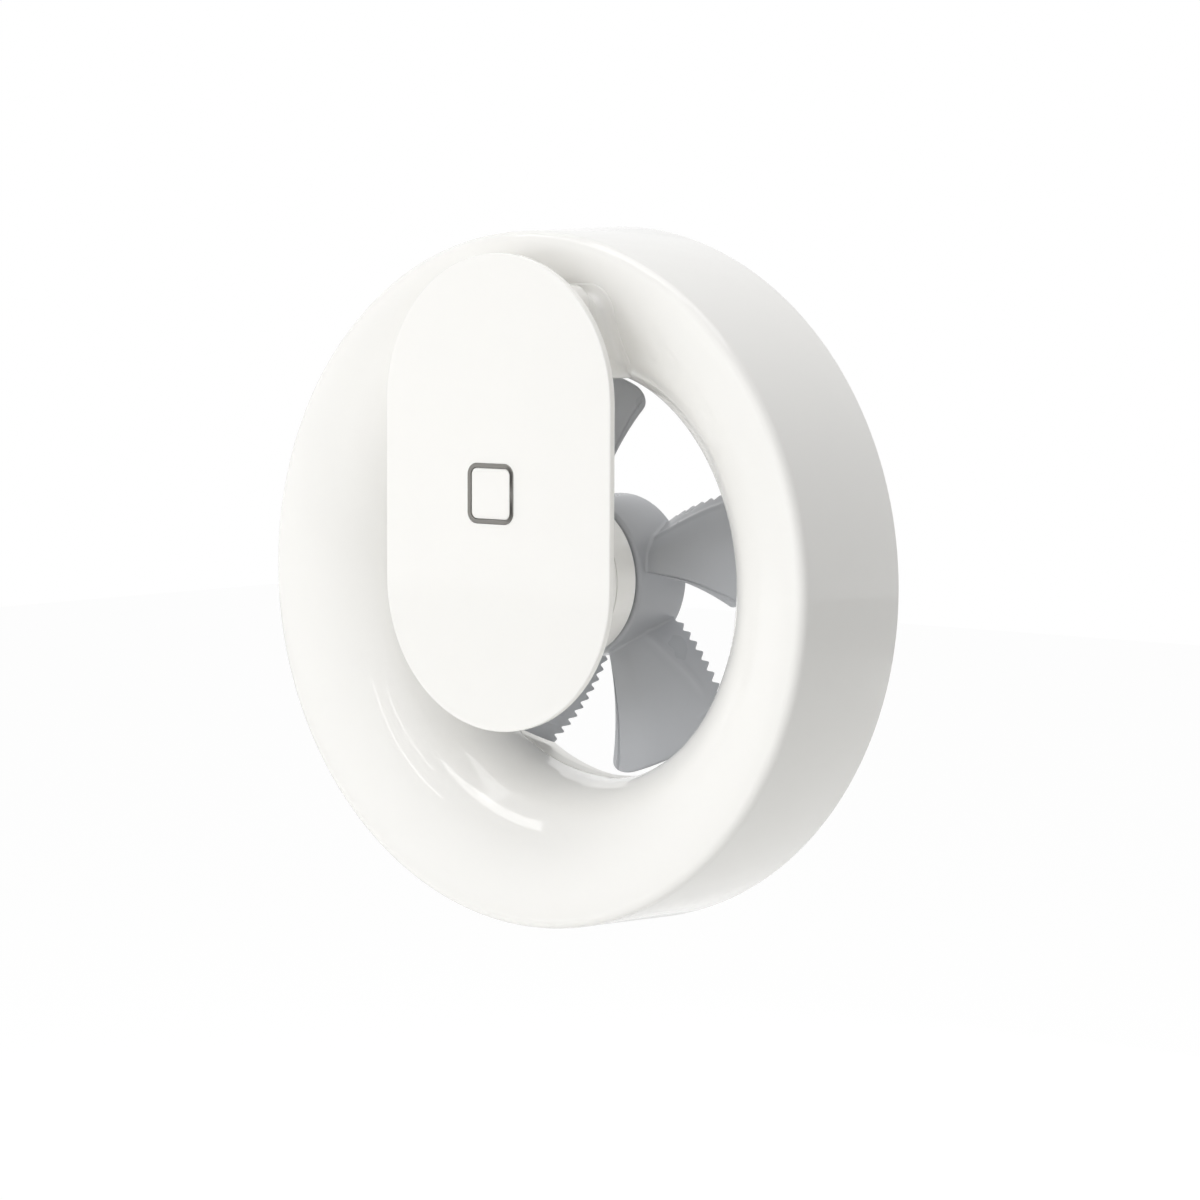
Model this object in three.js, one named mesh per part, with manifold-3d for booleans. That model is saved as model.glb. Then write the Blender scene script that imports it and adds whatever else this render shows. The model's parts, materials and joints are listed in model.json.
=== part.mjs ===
// Round wall-mounted extractor fan: a bell-mouthed ring round a duct collar, a motor carried in the
// middle of the bore by a narrow control housing, a five-bladed impeller, and a stadium-shaped cover
// plate with a square push button. Millimetres, +Z up. The wall is the plane y = 0, the front faces
// -Y, and the impeller turns about the Y axis.

import * as THREE from 'three';
import { mergeVertices } from 'three/addons/utils/BufferGeometryUtils.js';
import Module from 'manifold-3d';

const wasm = await Module();
wasm.setup();

// ---- driving dimensions -------------------------------------------------------------------------

// clearances
const SEAT = 0.3;              // between a piece and the curved or cut seat that holds it
const RUNNING_GAP = 0.5;       // between turning and standing parts
const INLAY_GAP = 0.1;         // round the bright frame in the cover
const OVERCUT = 1;             // how far a cutting tool runs past the face it opens

// outer ring: drafted skirt, rounded lip and a bell mouth that is a quarter of an ellipse in section
const RING_DEPTH = 42.1;
const RING_WALL = 2.4;
const SKIRT_DRAFT = 1.7;       // how much wider the skirt is at the wall than behind the lip
const LIP_RADIUS = 2.9;
const BORE_RADIUS = 60;
const MOUTH_WIDTH = 37.4;
const MOUTH_DEPTH = 32;
const BORE_END = 4;            // the ring's bore stops this far in front of the wall

// wall plate and duct collar
const WALL_PLATE_THICKNESS = 2.5;
const COLLAR_REACH = 8;        // behind the wall plane
const COLLAR_WALL = 2.4;
const SEAL_WIDTH = 2.6;
const SEAL_BACK = 5.6;
const SEAL_PROUD = 1.6;
const SEAL_GROOVE = 0.9;
const SEAL_BEVEL = 0.8;
const GASKET_GAP = 1.1;        // between the collar and the gasket's groove
const GASKET_WIDTH = 6;
const GASKET_THICKNESS = 1.2;
const WALL_HOLE_RADIUS = 2.3;
const WALL_HOLE_ANGLES = [25, 155, 205, 335];
const FIXING_INSET = 10;       // from the outside of the ring
const FIXING_COUNT = 4;

// screws: one size for the shells, a small one for the boards and the cable clamp
const SHANK_RADIUS = 1.5;
const HEAD_RADIUS = 2.8;
const HEAD_HEIGHT = 1.7;
const SCREW_LENGTH = 12;
const BOSS_RADIUS = 4.4;
const SMALL_SHANK_RADIUS = 0.9;
const SMALL_HEAD_RADIUS = 1.8;
const SMALL_HEAD_HEIGHT = 1;
const BOARD_SCREW_LENGTH = 3.2;
const POWER_SCREW_LENGTH = 5;
const CLAMP_SCREW_LENGTH = 9;

// cover plate
const COVER_HALF_WIDTH = 41.65;
const COVER_HALF_HEIGHT = 67.85;
const COVER_CENTRE_Z = 26;
const COVER_RIM_FRONT = 54.8;  // in front of the wall
const COVER_THICKNESS = 2.2;
const COVER_CROWN = 2.2;
const POST_RADIUS = 1.7;
const POST_LENGTH = 4;
const POST_X = 21;
const POST_LOW_Z = 4;
const POST_DROP = 10;          // of the high posts, below the neck's screws
const SOCKET_WALL = 1.4;

// push button and its bright frame
const FRAME_SIZE = 17.3;
const FRAME_LINE = 1.4;
const FRAME_CORNER = 3.8;
const FRAME_PROUD = 0.25;
const BUTTON_FLANGE = 18.6;
const BUTTON_FLANGE_THICKNESS = 1;
const BUTTON_TRAVEL = 0.5;
const BUTTON_STEM_RADIUS = 1.6;
const PLUNGER_LENGTH = 1.8;
const PLUNGER_DEPTH = 1;       // of its length, inside the switch
const PLUNGER_RADIUS = 1.7;
const SWITCH_SIZE = 6;
const SWITCH_HEIGHT = 3.3;

// control housing: a shallow tray behind the cover and a deep neck at its top that sits on the ring
const TRAY_HALF_WIDTH = 26;
const TRAY_DEPTH = 8.3;
const TRAY_WALL = 2;
const TRAY_FLOOR = 1.8;
const TRAY_RISE = 25;          // of its top, above the bore's edge
const TRAY_CORNER = 6;
const NECK_OVERHANG = 1.5;     // of its lower wall, below the bore's edge
const NECK_BACK = 20;          // in front of the wall
const WINDOW_WIDTH = 16;
const WINDOW_HEIGHT = 6;
const NECK_SCREW_X = 17;
const NECK_SCREW_RISE = 16;    // above the bore's edge
const NECK_SCREW_DEPTH = 6.4;  // of their seats, behind the ring's front surface

// motor
const MOTOR_RADIUS = 23.2;
const MOTOR_WALL = 1.8;
const MOTOR_BACK = 19;         // in front of the wall
const CAP_LENGTH = 9;
const CAP_LIP = 2.8;
const SHAFT_RADIUS = 2;
const BEARING_RADIUS = 5;
const BEARING_WIDTH = 3;
const BEARING_BOSS_RADIUS = 7.2;
const STATOR_LENGTH = 6.5;
const STATOR_YOKE = 2.4;
const STATOR_BORE = 12.2;
const SHOE_THICKNESS = 1.6;
const SHOE_GAP = 2.6;
const TOOTH_COUNT = 6;
const TOOTH_WIDTH = 4;
const COIL_THICKNESS = 1.8;
const MAGNET_THICKNESS = 3.2;
const ROTOR_OVERHANG = 0.6;
const MOTOR_BOARD_THICKNESS = 1.2;
const MOTOR_BOARD_STANDOFF = 1.4;
const MOTOR_BOARD_RIM_GAP = 1;
const MOTOR_BOARD_PILLARS = 3;
const MOTOR_BOARD_PILLAR_RADIUS = 2;
const MOTOR_BOARD_PILLAR_INSET = 4;
const COIL_TO_BOARD = 1.3;

// impeller
const HUB_RADIUS = 23.7;
const HUB_BACK = 3;            // behind the wall plane
const HUB_GAP = 0.8;
const HUB_WALL = 1.8;
const HUB_EDGE = 1.4;          // chamfer round its front
const HUB_BOSS_RADIUS = 6.2;
const HUB_BOSS_LENGTH = 12;
const HUB_RIB_COUNT = 5;
const HUB_RIB_THICKNESS = 1.4;
const HUB_RIB_DEPTH = 7;
const BUSH_WALL = 1.8;
const CLIP_RADIUS = 4.4;
const CLIP_THICKNESS = 0.8;
const SHAFT_END = 1;           // past the clip
const BLADE_COUNT = 5;
const BLADE_THICKNESS = 1.4;
const TIP_GAP = 1;
const TIP_CORNER_SHARE = 0.25; // of the chord, rounded off at the leading corner
const TIP_CORNER_DROP = 5;
const BLADE_SETBACK = 3.2;     // leading edge, behind the hub's front face
const BLADE_SHORT = 0.1;       // trailing edge, in front of the hub's back edge
const LEADING_ROOT_ANGLE = -66.4;
const LEADING_TIP_ANGLE = -79.9;
const TRAILING_ROOT_ANGLE = -29.5;
const TRAILING_TIP_ANGLE = -45;
const CAMBER_SHARE = 0.75;     // of the depth, gained over the whole chord; the rest at its end
const CAMBER_POWER = 1.9;
const HOOK_POWER = 10;
const SERRATION_COUNT = 10;
const SERRATION_START = 1.4;   // from the hub to the first notch
const SERRATION_END = 1.3;     // from the last tooth to the blade's tip
const SERRATION_SHARE = 0.035; // of the chord

// control board, in the tray
const BOARD_THICKNESS = 1.6;
const CONTROL_BOARD_HALF_WIDTH = 14;
const CONTROL_BOARD_BOTTOM = -14;
const CONTROL_BOARD_DROP = 2.5; // of its top, below the neck's lower wall
const CONTROL_BOARD_STANDOFF = 0.7;
const BOARD_SCREW_X = 11;
const BOARD_SCREW_LOW_Z = -4;
const BOARD_SCREW_INSET = 4;   // of the high ones, from the board's top
const BOARD_PILLAR_RADIUS = 2.4;
const BOARD_CORNER = 2;
const MICROCONTROLLER = { width: 7, height: 7, thickness: 1, x: 0, z: 12 };
const WIRELESS_MODULE = { width: 12, height: 9, thickness: 2.2, x: 0 };
const WIRELESS_INSET = 18;     // of its middle, from the board's top
const HUMIDITY_SENSOR = { width: 3, height: 3, thickness: 1, x: -9, z: 6 };
const LIGHT_SENSOR = { width: 2, height: 3, thickness: 0.9, x: 9, z: 6 };
const PLUG = { width: 8, height: 4, thickness: 3.8, x: 0 };
const PLUG_INSET = 6;          // of its middle, from the board's end

// power board, behind the top of the ring
const POWER_BOARD_HALF_WIDTH = 34;
const POWER_BOARD_HEIGHT = 21;
const POWER_BOARD_GAP = 4.6;   // above the collar
const POWER_BOARD_STANDOFF = 4.5;
const POWER_SCREW_INSET = 3.5;
const TERMINAL_COUNT = 3;
const TERMINAL_PITCH = 5.6;
const TERMINAL_X = -21;
const TERMINAL_RISE = 7;       // above the board's lower edge
const TERMINAL_HEIGHT = 10;
const TERMINAL_DEPTH = 9;
const TERMINAL_SIDE_WALL = 0.5;
const TERMINAL_WELL = 5.3;     // depth of a screw's well
const TERMINAL_SCREW_TOP = 0.8;
const TERMINAL_SCREW_LENGTH = 4.2;
const TERMINAL_ENTRY = { halfWidth: 1.6, frontDepth: 6.2, backDepth: 8.8 };
const TRANSFORMER = { width: 15, height: 12, thickness: 12, x: 16 };
const TRANSFORMER_RISE = 10;
const CAPACITOR = { radius: 4, length: 13, x: -7 };
const CAPACITOR_RISE = 13;
const GROMMET_ANGLE = 126;
const GROMMET_GAP = 15.6;      // from the collar to its middle
const GROMMET_BORE = 3.4;
const GROMMET_WALL = 2.2;
const GROMMET_LIP = 2;         // how far the lip stands out, and its height
const CLAMP_GAP = 0.5;         // beside the power board
const CLAMP_RISE = 9;          // above the board's lower edge
const CLAMP_HALF_LENGTH = 9;
const CLAMP_WIDTH = 5;
const CLAMP_HEIGHT = 8;
const CLAMP_TUNNEL = 3.2;
const CLAMP_SCREW_OFFSET = 6.1;
const SUPPLY_LEAD_RADIUS = 1.5;
const MOTOR_LEAD_RADIUS = 0.9;
const LEAD_SIDES = 6;

// facets
const LARGE_SIDES = 48;
const MOTOR_SIDES = 36;
const INNER_SIDES = 24;
const SMALL_SIDES = 12;
const SCREW_SIDES = 8;
const MOUTH_STEPS = 8;
const LIP_STEPS = 3;
const OUTLINE_STEPS = 8;

// ---- places worked out from the dimensions ------------------------------------------------------

const mouthCentreRadius = BORE_RADIUS + MOUTH_WIDTH;
const ringRadius = mouthCentreRadius + LIP_RADIUS + SKIRT_DRAFT;
const mouthCentreY = -(RING_DEPTH - MOUTH_DEPTH);
const coverRimFrontY = -COVER_RIM_FRONT;
const coverRimBackY = coverRimFrontY + COVER_THICKNESS;
const coverMiddleFrontY = coverRimFrontY - COVER_CROWN;
const coverMiddleBackY = coverRimBackY - COVER_CROWN;
const trayFrontY = coverRimBackY + SEAT;
const trayBackY = trayFrontY + TRAY_DEPTH;
const trayFloorY = trayBackY - TRAY_FLOOR;
const motorBackY = -MOTOR_BACK;
const seamY = motorBackY - CAP_LENGTH;
const motorBore = MOTOR_RADIUS - MOTOR_WALL;
const hubFrontY = motorBackY + HUB_GAP;
const wallPlateFrontY = -WALL_PLATE_THICKNESS;
const holeRadius = SHANK_RADIUS + SEAT;
const smallHoleRadius = SMALL_SHANK_RADIUS + SEAT;
const skirtInnerRadius = ringRadius - RING_WALL;
const collarOuterRadius = BORE_RADIUS + COLLAR_WALL;
const gasketInnerRadius = collarOuterRadius + GASKET_GAP;
const wallHoleCircle = (collarOuterRadius + skirtInnerRadius) / 2;
const neckBottom = BORE_RADIUS - NECK_OVERHANG;
const neckScrewZ = BORE_RADIUS + NECK_SCREW_RISE;
const trayTop = BORE_RADIUS + TRAY_RISE;
const controlBoardTop = neckBottom - CONTROL_BOARD_DROP;
const powerBoardBottom = collarOuterRadius + POWER_BOARD_GAP;
const powerBoardTop = powerBoardBottom + POWER_BOARD_HEIGHT;
const terminalZ = powerBoardBottom + TERMINAL_RISE;
const bearingBore = BEARING_RADIUS + SEAT;
const shaftHole = SHAFT_RADIUS + SEAT;

// ---- shapes and solids --------------------------------------------------------------------------

const degrees = (angle) => (angle * Math.PI) / 180;

function signedVolume(geometry) {
  const corner = geometry.getAttribute('position');
  const index = geometry.getIndex();
  const [a, b, c] = [new THREE.Vector3(), new THREE.Vector3(), new THREE.Vector3()];
  let volume = 0;
  for (let i = 0; i < index.count; i += 3) {
    a.fromBufferAttribute(corner, index.getX(i));
    b.fromBufferAttribute(corner, index.getX(i + 1));
    c.fromBufferAttribute(corner, index.getX(i + 2));
    volume += a.dot(b.cross(c)) / 6;
  }
  return volume;
}

// A closed solid from a geometry, with its seams merged and its faces pointing out.
function solid(geometry) {
  const bare = geometry.clone();
  for (const name of Object.keys(bare.attributes)) {
    if (name !== 'position') bare.deleteAttribute(name);
  }
  const merged = mergeVertices(bare, 1e-4);
  const triVerts = Uint32Array.from(merged.getIndex().array);
  if (signedVolume(merged) < 0) {
    for (let i = 0; i < triVerts.length; i += 3) {
      [triVerts[i], triVerts[i + 1]] = [triVerts[i + 1], triVerts[i]];
    }
  }
  const vertProperties = Float32Array.from(merged.getAttribute('position').array);
  const mesh = new wasm.Mesh({ numProp: 3, vertProperties, triVerts });
  mesh.merge();
  return new wasm.Manifold(mesh);
}

function geometryOf(body) {
  const mesh = body.getMesh();
  const geometry = new THREE.BufferGeometry();
  geometry.setAttribute('position', new THREE.BufferAttribute(mesh.vertProperties, 3));
  geometry.setIndex(new THREE.BufferAttribute(mesh.triVerts, 1));
  geometry.computeVertexNormals();
  return geometry;
}

const joined = (...bodies) => bodies.reduce((sum, body) => sum.add(body));
const cut = (body, ...tools) => tools.reduce((rest, tool) => rest.subtract(tool), body);

// A closed outline of [radius, y] points turned about the Y axis.
function turned(outline, sides) {
  const points = [...outline, outline[0]].map(([radius, y]) => new THREE.Vector2(radius, y));
  return solid(new THREE.LatheGeometry(points, sides));
}

// An outline that starts and ends on the axis, turned about the Y axis through (x, z).
function turnedPin(outline, x, z, sides) {
  const points = outline.map(([radius, y]) => new THREE.Vector2(radius, y));
  const geometry = new THREE.LatheGeometry(points, sides);
  return solid(geometry).translate([x, 0, z]);
}

function rod(radius, frontY, backY, x = 0, z = 0, sides = SMALL_SIDES) {
  return turnedPin([[0, frontY], [radius, frontY], [radius, backY], [0, backY]], x, z, sides);
}

function tube(outer, inner, frontY, backY, sides) {
  return turned([[inner, frontY], [outer, frontY], [outer, backY], [inner, backY]], sides);
}

function block(xRange, yRange, zRange) {
  const [x0, x1] = xRange;
  const [y0, y1] = yRange;
  const [z0, z1] = zRange;
  const geometry = new THREE.BoxGeometry(x1 - x0, y1 - y0, z1 - z0);
  geometry.translate((x0 + x1) / 2, (y0 + y1) / 2, (z0 + z1) / 2);
  return solid(geometry);
}

// A flat shape drawn in x and z, with its thickness along Y.
function slab(shape, frontY, backY, curveSegments = 4) {
  const depth = backY - frontY;
  const geometry = new THREE.ExtrudeGeometry(shape, { depth, bevelEnabled: false, curveSegments });
  return solid(geometry.rotateX(Math.PI / 2).translate(0, backY, 0));
}

function roundedRectangle(width, height, corner, centreX, centreZ) {
  const [x0, x1] = [centreX - width / 2, centreX + width / 2];
  const [z0, z1] = [centreZ - height / 2, centreZ + height / 2];
  const shape = new THREE.Shape();
  shape.moveTo(x0 + corner, z0);
  shape.lineTo(x1 - corner, z0);
  shape.absarc(x1 - corner, z0 + corner, corner, -Math.PI / 2, 0);
  shape.lineTo(x1, z1 - corner);
  shape.absarc(x1 - corner, z1 - corner, corner, 0, Math.PI / 2);
  shape.lineTo(x0 + corner, z1);
  shape.absarc(x0 + corner, z1 - corner, corner, Math.PI / 2, Math.PI);
  shape.lineTo(x0, z0 + corner);
  shape.absarc(x0 + corner, z0 + corner, corner, Math.PI, Math.PI * 1.5);
  return shape;
}

// A pan-head screw along Y: the shank runs to the front of the head's seat.
function screw(seatY, length, x, z, shank = SHANK_RADIUS, head = HEAD_RADIUS, height = HEAD_HEIGHT) {
  const outline = [
    [0, seatY - length],
    [shank * 0.6, seatY - length],
    [shank, seatY - length + shank],
    [shank, seatY],
    [head, seatY],
    [head, seatY + height * 0.5],
    [head * 0.7, seatY + height],
    [0, seatY + height],
  ];
  return turnedPin(outline, x, z, SCREW_SIDES);
}

// A small screw the other way round, with its head in front of the seat.
function smallScrew(seatY, length, x, z) {
  return screw(0, length, 0, 0, SMALL_SHANK_RADIUS, SMALL_HEAD_RADIUS, SMALL_HEAD_HEIGHT)
    .rotate([0, 0, 180]).translate([x, seatY, z]);
}

// ---- the ring's front surface -------------------------------------------------------------------

// Section of the front surface from the bore's end to the back of the skirt, moved proud by offset.
function mouthSection(offset, boreEndY, skirtEndY, mouthSteps, lipSteps) {
  const section = [[BORE_RADIUS - offset, boreEndY]];
  for (let i = 0; i <= mouthSteps; i += 1) {
    const turn = (Math.PI / 2) * (i / mouthSteps);
    section.push([
      mouthCentreRadius - (MOUTH_WIDTH + offset) * Math.cos(turn),
      mouthCentreY - (MOUTH_DEPTH + offset) * Math.sin(turn),
    ]);
  }
  const lipCentreY = -(RING_DEPTH - LIP_RADIUS);
  for (let i = 1; i <= lipSteps; i += 1) {
    const turn = (Math.PI / 2) * (i / lipSteps);
    section.push([
      mouthCentreRadius + (LIP_RADIUS + offset) * Math.sin(turn),
      lipCentreY - (LIP_RADIUS + offset) * Math.cos(turn),
    ]);
  }
  section.push([ringRadius + offset, skirtEndY]);
  return section;
}

// The front surface's y at a radius between the bore and the mouth's crest.
function mouthY(radius) {
  const across = (mouthCentreRadius - radius) / MOUTH_WIDTH;
  return mouthCentreY - MOUTH_DEPTH * Math.sqrt(1 - across * across);
}

// Everything behind the front surface moved proud by offset.
function behindMouth(offset) {
  return turned(mouthSection(offset, HUB_BACK, HUB_BACK, MOUTH_STEPS, LIP_STEPS), LARGE_SIDES);
}

function polar(circle, angle) {
  return [circle * Math.cos(degrees(angle)), circle * Math.sin(degrees(angle))];
}

const fixingPlaces = Array.from({ length: FIXING_COUNT }, (_, i) =>
  polar(ringRadius - FIXING_INSET, (360 / FIXING_COUNT) * (i + 0.5)));
const fixingPadY = wallPlateFrontY - HEAD_HEIGHT - SEAT;
const neckScrewPlaces = [[-NECK_SCREW_X, neckScrewZ], [NECK_SCREW_X, neckScrewZ]];
const neckScrewSeatY = mouthY(Math.hypot(NECK_SCREW_X, neckScrewZ)) + NECK_SCREW_DEPTH;

function window(frontY, backY) {
  const [half, rise] = [WINDOW_WIDTH / 2, WINDOW_HEIGHT / 2];
  return block([-half, half], [frontY, backY], [neckScrewZ - rise, neckScrewZ + rise]);
}

function outerRing() {
  const front = mouthSection(0, -BORE_END, 0, MOUTH_STEPS, LIP_STEPS);
  const back = mouthSection(-RING_WALL, -BORE_END, 0, MOUTH_STEPS - 2, 1).reverse();
  let ring = turned([...front, ...back], LARGE_SIDES);
  const withinWall = behindMouth(-RING_WALL / 2);
  for (const [x, z] of fixingPlaces) {
    const boss = rod(BOSS_RADIUS, -RING_DEPTH, fixingPadY - SEAT, x, z, SCREW_SIDES);
    ring = ring.add(boss.intersect(withinWall));
    ring = ring.subtract(rod(holeRadius, -RING_DEPTH * 0.5, 0, x, z, SCREW_SIDES));
  }
  for (const [x, z] of neckScrewPlaces) {
    const boss = rod(BOSS_RADIUS, -RING_DEPTH, neckScrewSeatY, x, z, SCREW_SIDES);
    ring = ring.add(boss.intersect(withinWall));
    ring = ring.subtract(rod(holeRadius, -RING_DEPTH, 0, x, z, SCREW_SIDES));
  }
  return ring.subtract(window(-RING_DEPTH, -BORE_END));
}

// ---- wall plate ---------------------------------------------------------------------------------

const powerScrewPlaces = [-1, 1].map((side) => [
  side * (POWER_BOARD_HALF_WIDTH - POWER_SCREW_INSET),
  powerBoardTop - POWER_SCREW_INSET,
]);
const [grommetX, grommetZ] = polar(collarOuterRadius + GROMMET_GAP, GROMMET_ANGLE);
const clampX = -(POWER_BOARD_HALF_WIDTH + CLAMP_GAP + CLAMP_HALF_LENGTH);
const clampZ = powerBoardBottom + CLAMP_RISE;
const clampScrewPlaces = [clampX - CLAMP_SCREW_OFFSET, clampX + CLAMP_SCREW_OFFSET];
const powerBoardBackY = wallPlateFrontY - POWER_BOARD_STANDOFF;
const powerBoardFrontY = powerBoardBackY - BOARD_THICKNESS;

function wallPlate() {
  const plateRadius = skirtInnerRadius - SEAT;
  const collarFrontY = -BORE_END + SEAT;
  const gasketOuter = gasketInnerRadius + GASKET_WIDTH;
  const outline = [
    [BORE_RADIUS, collarFrontY],
    [collarOuterRadius, collarFrontY],
    [collarOuterRadius, wallPlateFrontY],
    [plateRadius, wallPlateFrontY],
    [plateRadius, 0],
    [gasketOuter, 0],
    [gasketOuter, -GASKET_THICKNESS],
    [gasketInnerRadius, -GASKET_THICKNESS],
    [gasketInnerRadius, 0],
    [collarOuterRadius, 0],
    [collarOuterRadius, SEAL_BACK - SEAL_WIDTH],
    [collarOuterRadius - SEAL_GROOVE, SEAL_BACK - SEAL_WIDTH],
    [collarOuterRadius - SEAL_GROOVE, SEAL_BACK],
    [collarOuterRadius, SEAL_BACK],
    [collarOuterRadius, COLLAR_REACH],
    [BORE_RADIUS, COLLAR_REACH],
  ];
  let plate = turned(outline, LARGE_SIDES);
  for (const [x, z] of fixingPlaces) {
    plate = plate.add(rod(BOSS_RADIUS, fixingPadY, wallPlateFrontY + SEAT, x, z, SCREW_SIDES));
    plate = plate.subtract(rod(holeRadius, fixingPadY - SEAT, SEAT, x, z, SCREW_SIDES));
    plate = plate.subtract(rod(HEAD_RADIUS + 2 * SEAT, -HEAD_HEIGHT, SEAT, x, z, SCREW_SIDES));
  }
  for (const angle of WALL_HOLE_ANGLES) {
    const [x, z] = polar(wallHoleCircle, angle);
    plate = plate.subtract(rod(WALL_HOLE_RADIUS, wallPlateFrontY - SEAT, SEAT, x, z, SCREW_SIDES));
  }
  for (const [x, z] of powerScrewPlaces) {
    const pillar = rod(BOSS_RADIUS, powerBoardBackY, wallPlateFrontY + SEAT, x, z, SCREW_SIDES);
    const pilot = rod(smallHoleRadius, powerBoardBackY - SEAT, wallPlateFrontY, x, z, SCREW_SIDES);
    plate = plate.add(pillar).subtract(pilot);
  }
  for (const x of clampScrewPlaces) {
    plate = plate.subtract(rod(smallHoleRadius, wallPlateFrontY - SEAT, SEAT, x, clampZ, SCREW_SIDES));
  }
  const grommetHole = GROMMET_BORE + GROMMET_WALL + SEAT;
  return plate.subtract(rod(grommetHole, wallPlateFrontY - SEAT, SEAT, grommetX, grommetZ));
}

function wallGasket() {
  const outer = gasketInnerRadius + GASKET_WIDTH - SEAT;
  return tube(outer, gasketInnerRadius + SEAT, -GASKET_THICKNESS, 0, LARGE_SIDES);
}

function collarSeal() {
  const inner = collarOuterRadius - SEAL_GROOVE + SEAT;
  const [front, back] = [SEAL_BACK - SEAL_WIDTH + SEAT, SEAL_BACK - SEAT];
  const outer = collarOuterRadius + SEAL_PROUD;
  const outline = [[inner, front], [outer - SEAL_BEVEL, front], [outer, back], [inner, back]];
  return turned(outline, LARGE_SIDES);
}

// ---- control housing ----------------------------------------------------------------------------

// Outline of the tray and neck, drawn in by inset: round at the bottom, soft corners at the top.
function trayOutline(inset) {
  const half = TRAY_HALF_WIDTH - inset;
  const top = trayTop - inset;
  const corner = TRAY_CORNER - inset;
  const shape = new THREE.Shape();
  shape.moveTo(-half, 0);
  shape.absarc(0, 0, half, Math.PI, Math.PI * 2);
  shape.lineTo(half, top - corner);
  shape.absarc(half - corner, top - corner, corner, 0, Math.PI / 2);
  shape.lineTo(-half + corner, top);
  shape.absarc(-half + corner, top - corner, corner, Math.PI / 2, Math.PI);
  return shape;
}

const postPlaces = [-1, 1].flatMap((side) => [
  [side * POST_X, POST_LOW_Z],
  [side * POST_X, neckScrewZ - POST_DROP],
]);
const boardScrewPlaces = [-1, 1].flatMap((side) => [
  [side * BOARD_SCREW_X, BOARD_SCREW_LOW_Z],
  [side * BOARD_SCREW_X, controlBoardTop - BOARD_SCREW_INSET],
]);
const controlBoardBackY = trayFloorY - CONTROL_BOARD_STANDOFF;
const controlBoardFrontY = controlBoardBackY - BOARD_THICKNESS;
const boardPilotEndY = controlBoardFrontY + BOARD_SCREW_LENGTH + SEAT;
const postEndY = coverRimBackY + POST_LENGTH;
const withinFloorY = (trayFloorY + trayBackY) / 2;
const motorBoardFrontY = trayBackY + MOTOR_BOARD_STANDOFF;
const leadHoleZ = CONTROL_BOARD_BOTTOM - 2 * MOTOR_LEAD_RADIUS - 2 * SEAT;

function controlHousing() {
  const sideways = [-ringRadius, ringRadius];
  const neckRange = [neckBottom, ringRadius];
  const pocketRange = [neckBottom + TRAY_WALL, ringRadius];
  const everyY = [trayFrontY - OVERCUT, 0];

  const tray = slab(trayOutline(0), trayFrontY, trayBackY, OUTLINE_STEPS);
  const neck = slab(trayOutline(0), trayFrontY, -NECK_BACK, OUTLINE_STEPS)
    .intersect(block(sideways, everyY, neckRange))
    .subtract(behindMouth(SEAT));
  const barrel = rod(MOTOR_RADIUS, withinFloorY, seamY, 0, 0, MOTOR_SIDES);
  const hollow = slab(trayOutline(TRAY_WALL), trayFrontY - OVERCUT, trayFloorY, OUTLINE_STEPS);
  const pocketBackY = -NECK_BACK - TRAY_WALL;
  const pocket = slab(trayOutline(TRAY_WALL), trayFrontY - OVERCUT, pocketBackY, OUTLINE_STEPS)
    .intersect(block(sideways, everyY, pocketRange))
    .subtract(behindMouth(SEAT + TRAY_WALL));
  const motorSpace = rod(motorBore, trayBackY, seamY + OVERCUT, 0, 0, MOTOR_SIDES);

  let housing = cut(joined(tray, neck, barrel), hollow, pocket, motorSpace);

  const bearingBackY = trayBackY + BEARING_WIDTH + SEAT;
  housing = housing.add(rod(BEARING_BOSS_RADIUS, withinFloorY, bearingBackY));
  housing = housing.subtract(rod(bearingBore, trayBackY, bearingBackY + OVERCUT));
  for (let i = 0; i < MOTOR_BOARD_PILLARS; i += 1) {
    const [x, z] = polar(motorBore - MOTOR_BOARD_PILLAR_INSET, 90 + (360 / MOTOR_BOARD_PILLARS) * i);
    housing = housing.add(
      rod(MOTOR_BOARD_PILLAR_RADIUS, withinFloorY, motorBoardFrontY, x, z, SCREW_SIDES));
  }

  const socketRadius = POST_RADIUS + SEAT;
  for (const [x, z] of postPlaces) {
    const socket = rod(socketRadius + SOCKET_WALL, trayFrontY, withinFloorY, x, z, SCREW_SIDES);
    const bore = rod(socketRadius, trayFrontY - OVERCUT, postEndY + SEAT, x, z, SCREW_SIDES);
    housing = housing.add(socket).subtract(bore);
  }
  for (const [x, z] of boardScrewPlaces) {
    const pillar = rod(BOARD_PILLAR_RADIUS, controlBoardBackY, withinFloorY, x, z, SCREW_SIDES);
    const pilot = rod(smallHoleRadius, controlBoardBackY - OVERCUT, boardPilotEndY, x, z, SCREW_SIDES);
    housing = housing.add(pillar).subtract(pilot);
  }
  const withinNeck = behindMouth(SEAT + TRAY_WALL / 2);
  for (const [x, z] of neckScrewPlaces) {
    const boss = rod(BOSS_RADIUS, trayBackY, neckScrewSeatY, x, z, SCREW_SIDES).subtract(withinNeck);
    housing = housing.add(boss);
    const pilotFrontY = neckScrewSeatY - SCREW_LENGTH - SEAT;
    housing = housing.subtract(rod(holeRadius, pilotFrontY, 0, x, z, SCREW_SIDES));
  }
  housing = housing.subtract(window(trayBackY, -NECK_BACK + OVERCUT));
  return housing.subtract(
    rod(MOTOR_LEAD_RADIUS + SEAT, trayFloorY - OVERCUT, trayBackY + OVERCUT, 0, leadHoleZ));
}

// ---- motor --------------------------------------------------------------------------------------

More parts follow.
